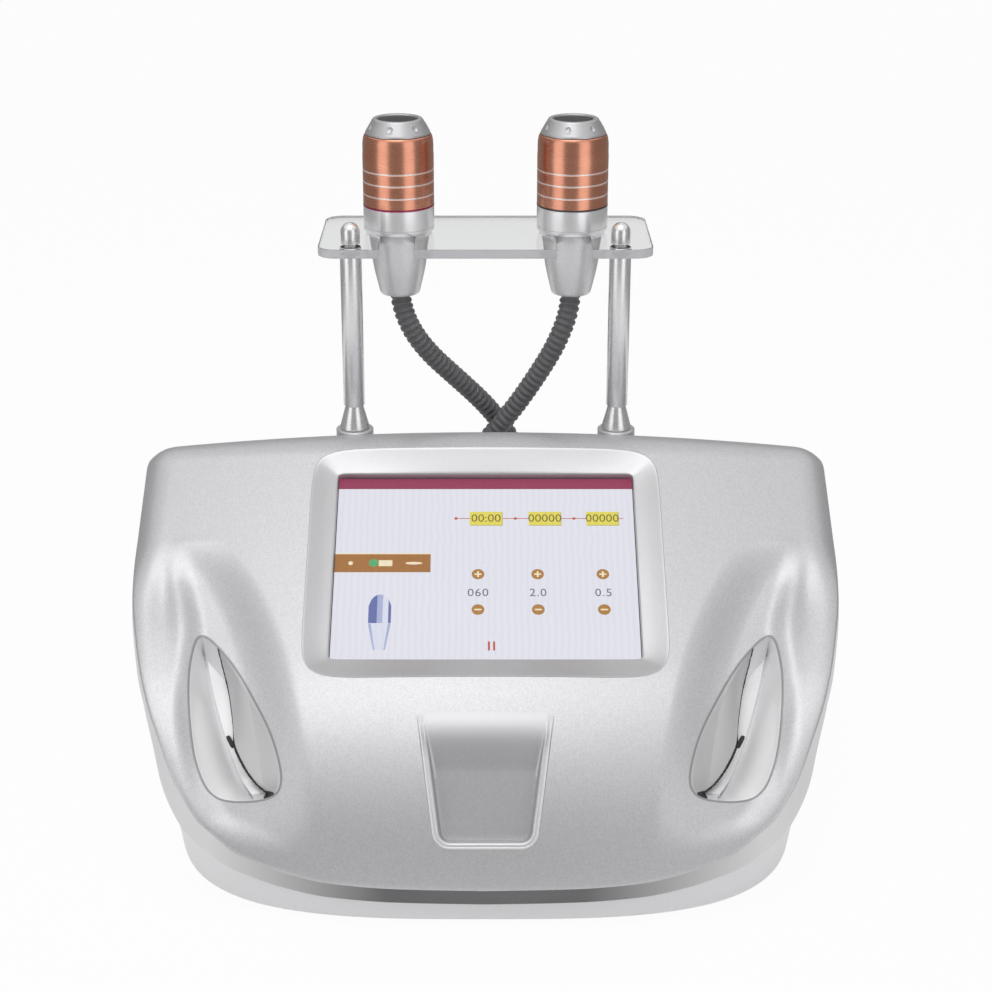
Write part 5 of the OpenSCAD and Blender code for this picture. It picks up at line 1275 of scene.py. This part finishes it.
# The inlet's pins are brass: faces inside its well, close to the three pins
pinBox = {"middle": (-100, 119.9, 78), "half": (8.2, 5.5, 4.2)}
inlet = rearPieces["mains_inlet"].data
centres = np.zeros(len(inlet.polygons) * 3)
inlet.polygons.foreach_get("center", centres)
setSlots(inlet, (np.abs(centres.reshape(-1, 3) / mm - pinBox["middle"]) < pinBox["half"]).all(1))
innerFinishes = {"lcd_panel": "blackPlastic", "lcd_bracket": "sheetMetal", "chassis_plate": "sheetMetal",
                 "power_supply": "sheetMetal", "main_board": "boardGreen", "left_driver_board": "boardBlue",
                 "right_driver_board": "boardBlue", "board_standoffs": "brass", "left_hand_motor": "steel",
                 "right_hand_motor": "steel", "left_transducer": "brass", "right_transducer": "brass"}
for nodeName, material in innerFinishes.items():
    finished = nodes[nodeName].data.materials
    for k in range(len(finished)):
        finished[k] = paints[material]
    if not finished:
        finished.append(paints[material])
print("inner parts finished")

# White table, cards and one lamp. Card sizes are in metres, the white parts in degrees round the table.
studio = {"world": 0.52, "floorGlow": 0.95, "floorRadius": 6, "floorDrop": 0.0002, "greyCard": 0.31,
          "whiteCard": 1.5, "cardFar": 2.3, "cardNear": 0.66, "cardLow": 0.001, "cardHigh": 1.6,
          "whiteParts": ((21, 57), (-69, -33)), "lampPlace": (-0.12, -0.37, 1.46), "lampTarget": (0, 0, 0.15),
          "lampSize": (0.95, 1.0), "radiance": 2.1}


# 1 for the rays that may see the white background: from the camera, mirrored or through glass
def backdropRays(tree):
    total = nodeOf(tree, "LightPath", {}, "Is Camera Ray")
    for name in ("Is Glossy Ray", "Is Transmission Ray"):
        total = nodeOf(tree, "Math", {"operation": "MAXIMUM", 0: total, 1: nodeOf(tree, "LightPath", {}, name)})
    return total


def addStage(name, points, faces):
    mesh = bpy.data.meshes.new(name)
    mesh.from_pydata(points.tolist(), [], faces)
    stage = addObject(name, mesh)
    return stage


def addWorld(s):
    scene.world = bpy.data.worlds.new("studioWorld")
    scene.world.use_nodes = True
    tree = scene.world.node_tree
    setNode(tree, tree.nodes["Background"], {"Strength": s["world"], "Color": (1, 1, 1)})
    blend = nodeOf(tree, "MixShader", {0: backdropRays(tree), 1: tree.nodes["Background"].outputs[0],
                                       2: nodeOf(tree, "Background", {"Color": (1, 1, 1)})})
    setNode(tree, tree.nodes["World Output"], {"Surface": blend})


def addFloor(s):
    a = np.linspace(0, fullTurn, 64, endpoint=False)
    points = np.stack([s["floorRadius"] * np.cos(a), s["floorRadius"] * np.sin(a), 0 * a - s["floorDrop"]], 1)
    floor = addStage("floor", points, [list(range(len(a)))])
    mat, tree, shader = newMaterial("floorWhite")
    setNode(tree, shader, {"Base Color": (0.95, 0.95, 0.95), "Roughness": 0.7, "Specular IOR Level": 0.1})
    part = nodeOf(tree, "Math", {"operation": "MULTIPLY", 0: backdropRays(tree), 1: s["floorGlow"]})
    blend = nodeOf(tree, "MixShader", {0: part, 1: shader.outputs[0], 2: nodeOf(tree, "Emission", {"Strength": 1})})
    setNode(tree, tree.nodes["Material Output"], {"Surface": blend})
    floor.data.materials.append(mat)


# Cards round the table, grey with two white parts: polished surfaces show them, and nothing else does.
# Angles go round from the camera's side towards the right.
def addCards(s):
    degrees = np.arange(-180, 180, 3)
    count = len(degrees)
    angle = np.radians(degrees)
    ring = np.stack([np.sin(angle), -np.cos(angle)], 1)
    points = np.vstack([np.column_stack([ring * radius, np.full(count, height)]) for radius, height in
                        ((s["cardNear"], s["cardLow"]), (s["cardFar"], s["cardLow"]), (s["cardFar"], s["cardHigh"]))])
    white = np.any([(degrees >= low) & (degrees < high) for low, high in s["whiteParts"]], axis=0)
    cards = addStage("studioCards", points, gridFaces(3, count, True).tolist())
    for way in ("camera", "diffuse", "transmission", "shadow", "volume_scatter"):
        setattr(cards, "visible_" + way, False)
    for name in ("greyCard", "whiteCard"):
        mat, tree, shader = newMaterial(name)
        setNode(tree, shader, {"Base Color": (0, 0, 0), "Specular IOR Level": 0, "Emission Color": (1, 1, 1),
                               "Emission Strength": s[name]})
        cards.data.materials.append(mat)
    setSlots(cards.data, np.concatenate([white, white]))


def addLamp(s):
    data = bpy.data.lights.new("overheadBox", "AREA")
    data.shape = "RECTANGLE"
    data.size, data.size_y = s["lampSize"]
    data.energy = s["radiance"] * math.pi * data.size * data.size_y
    lamp = addObject("overheadBox", data)
    lamp.location = s["lampPlace"]
    aim = Vector(s["lampTarget"]) - Vector(s["lampPlace"])
    lamp.rotation_euler = aim.to_track_quat("-Z", "Y").to_euler()


addWorld(studio)
addFloor(studio)
addCards(studio)
addLamp(studio)
scene.view_settings.view_transform = "Standard"
print("studio ready")
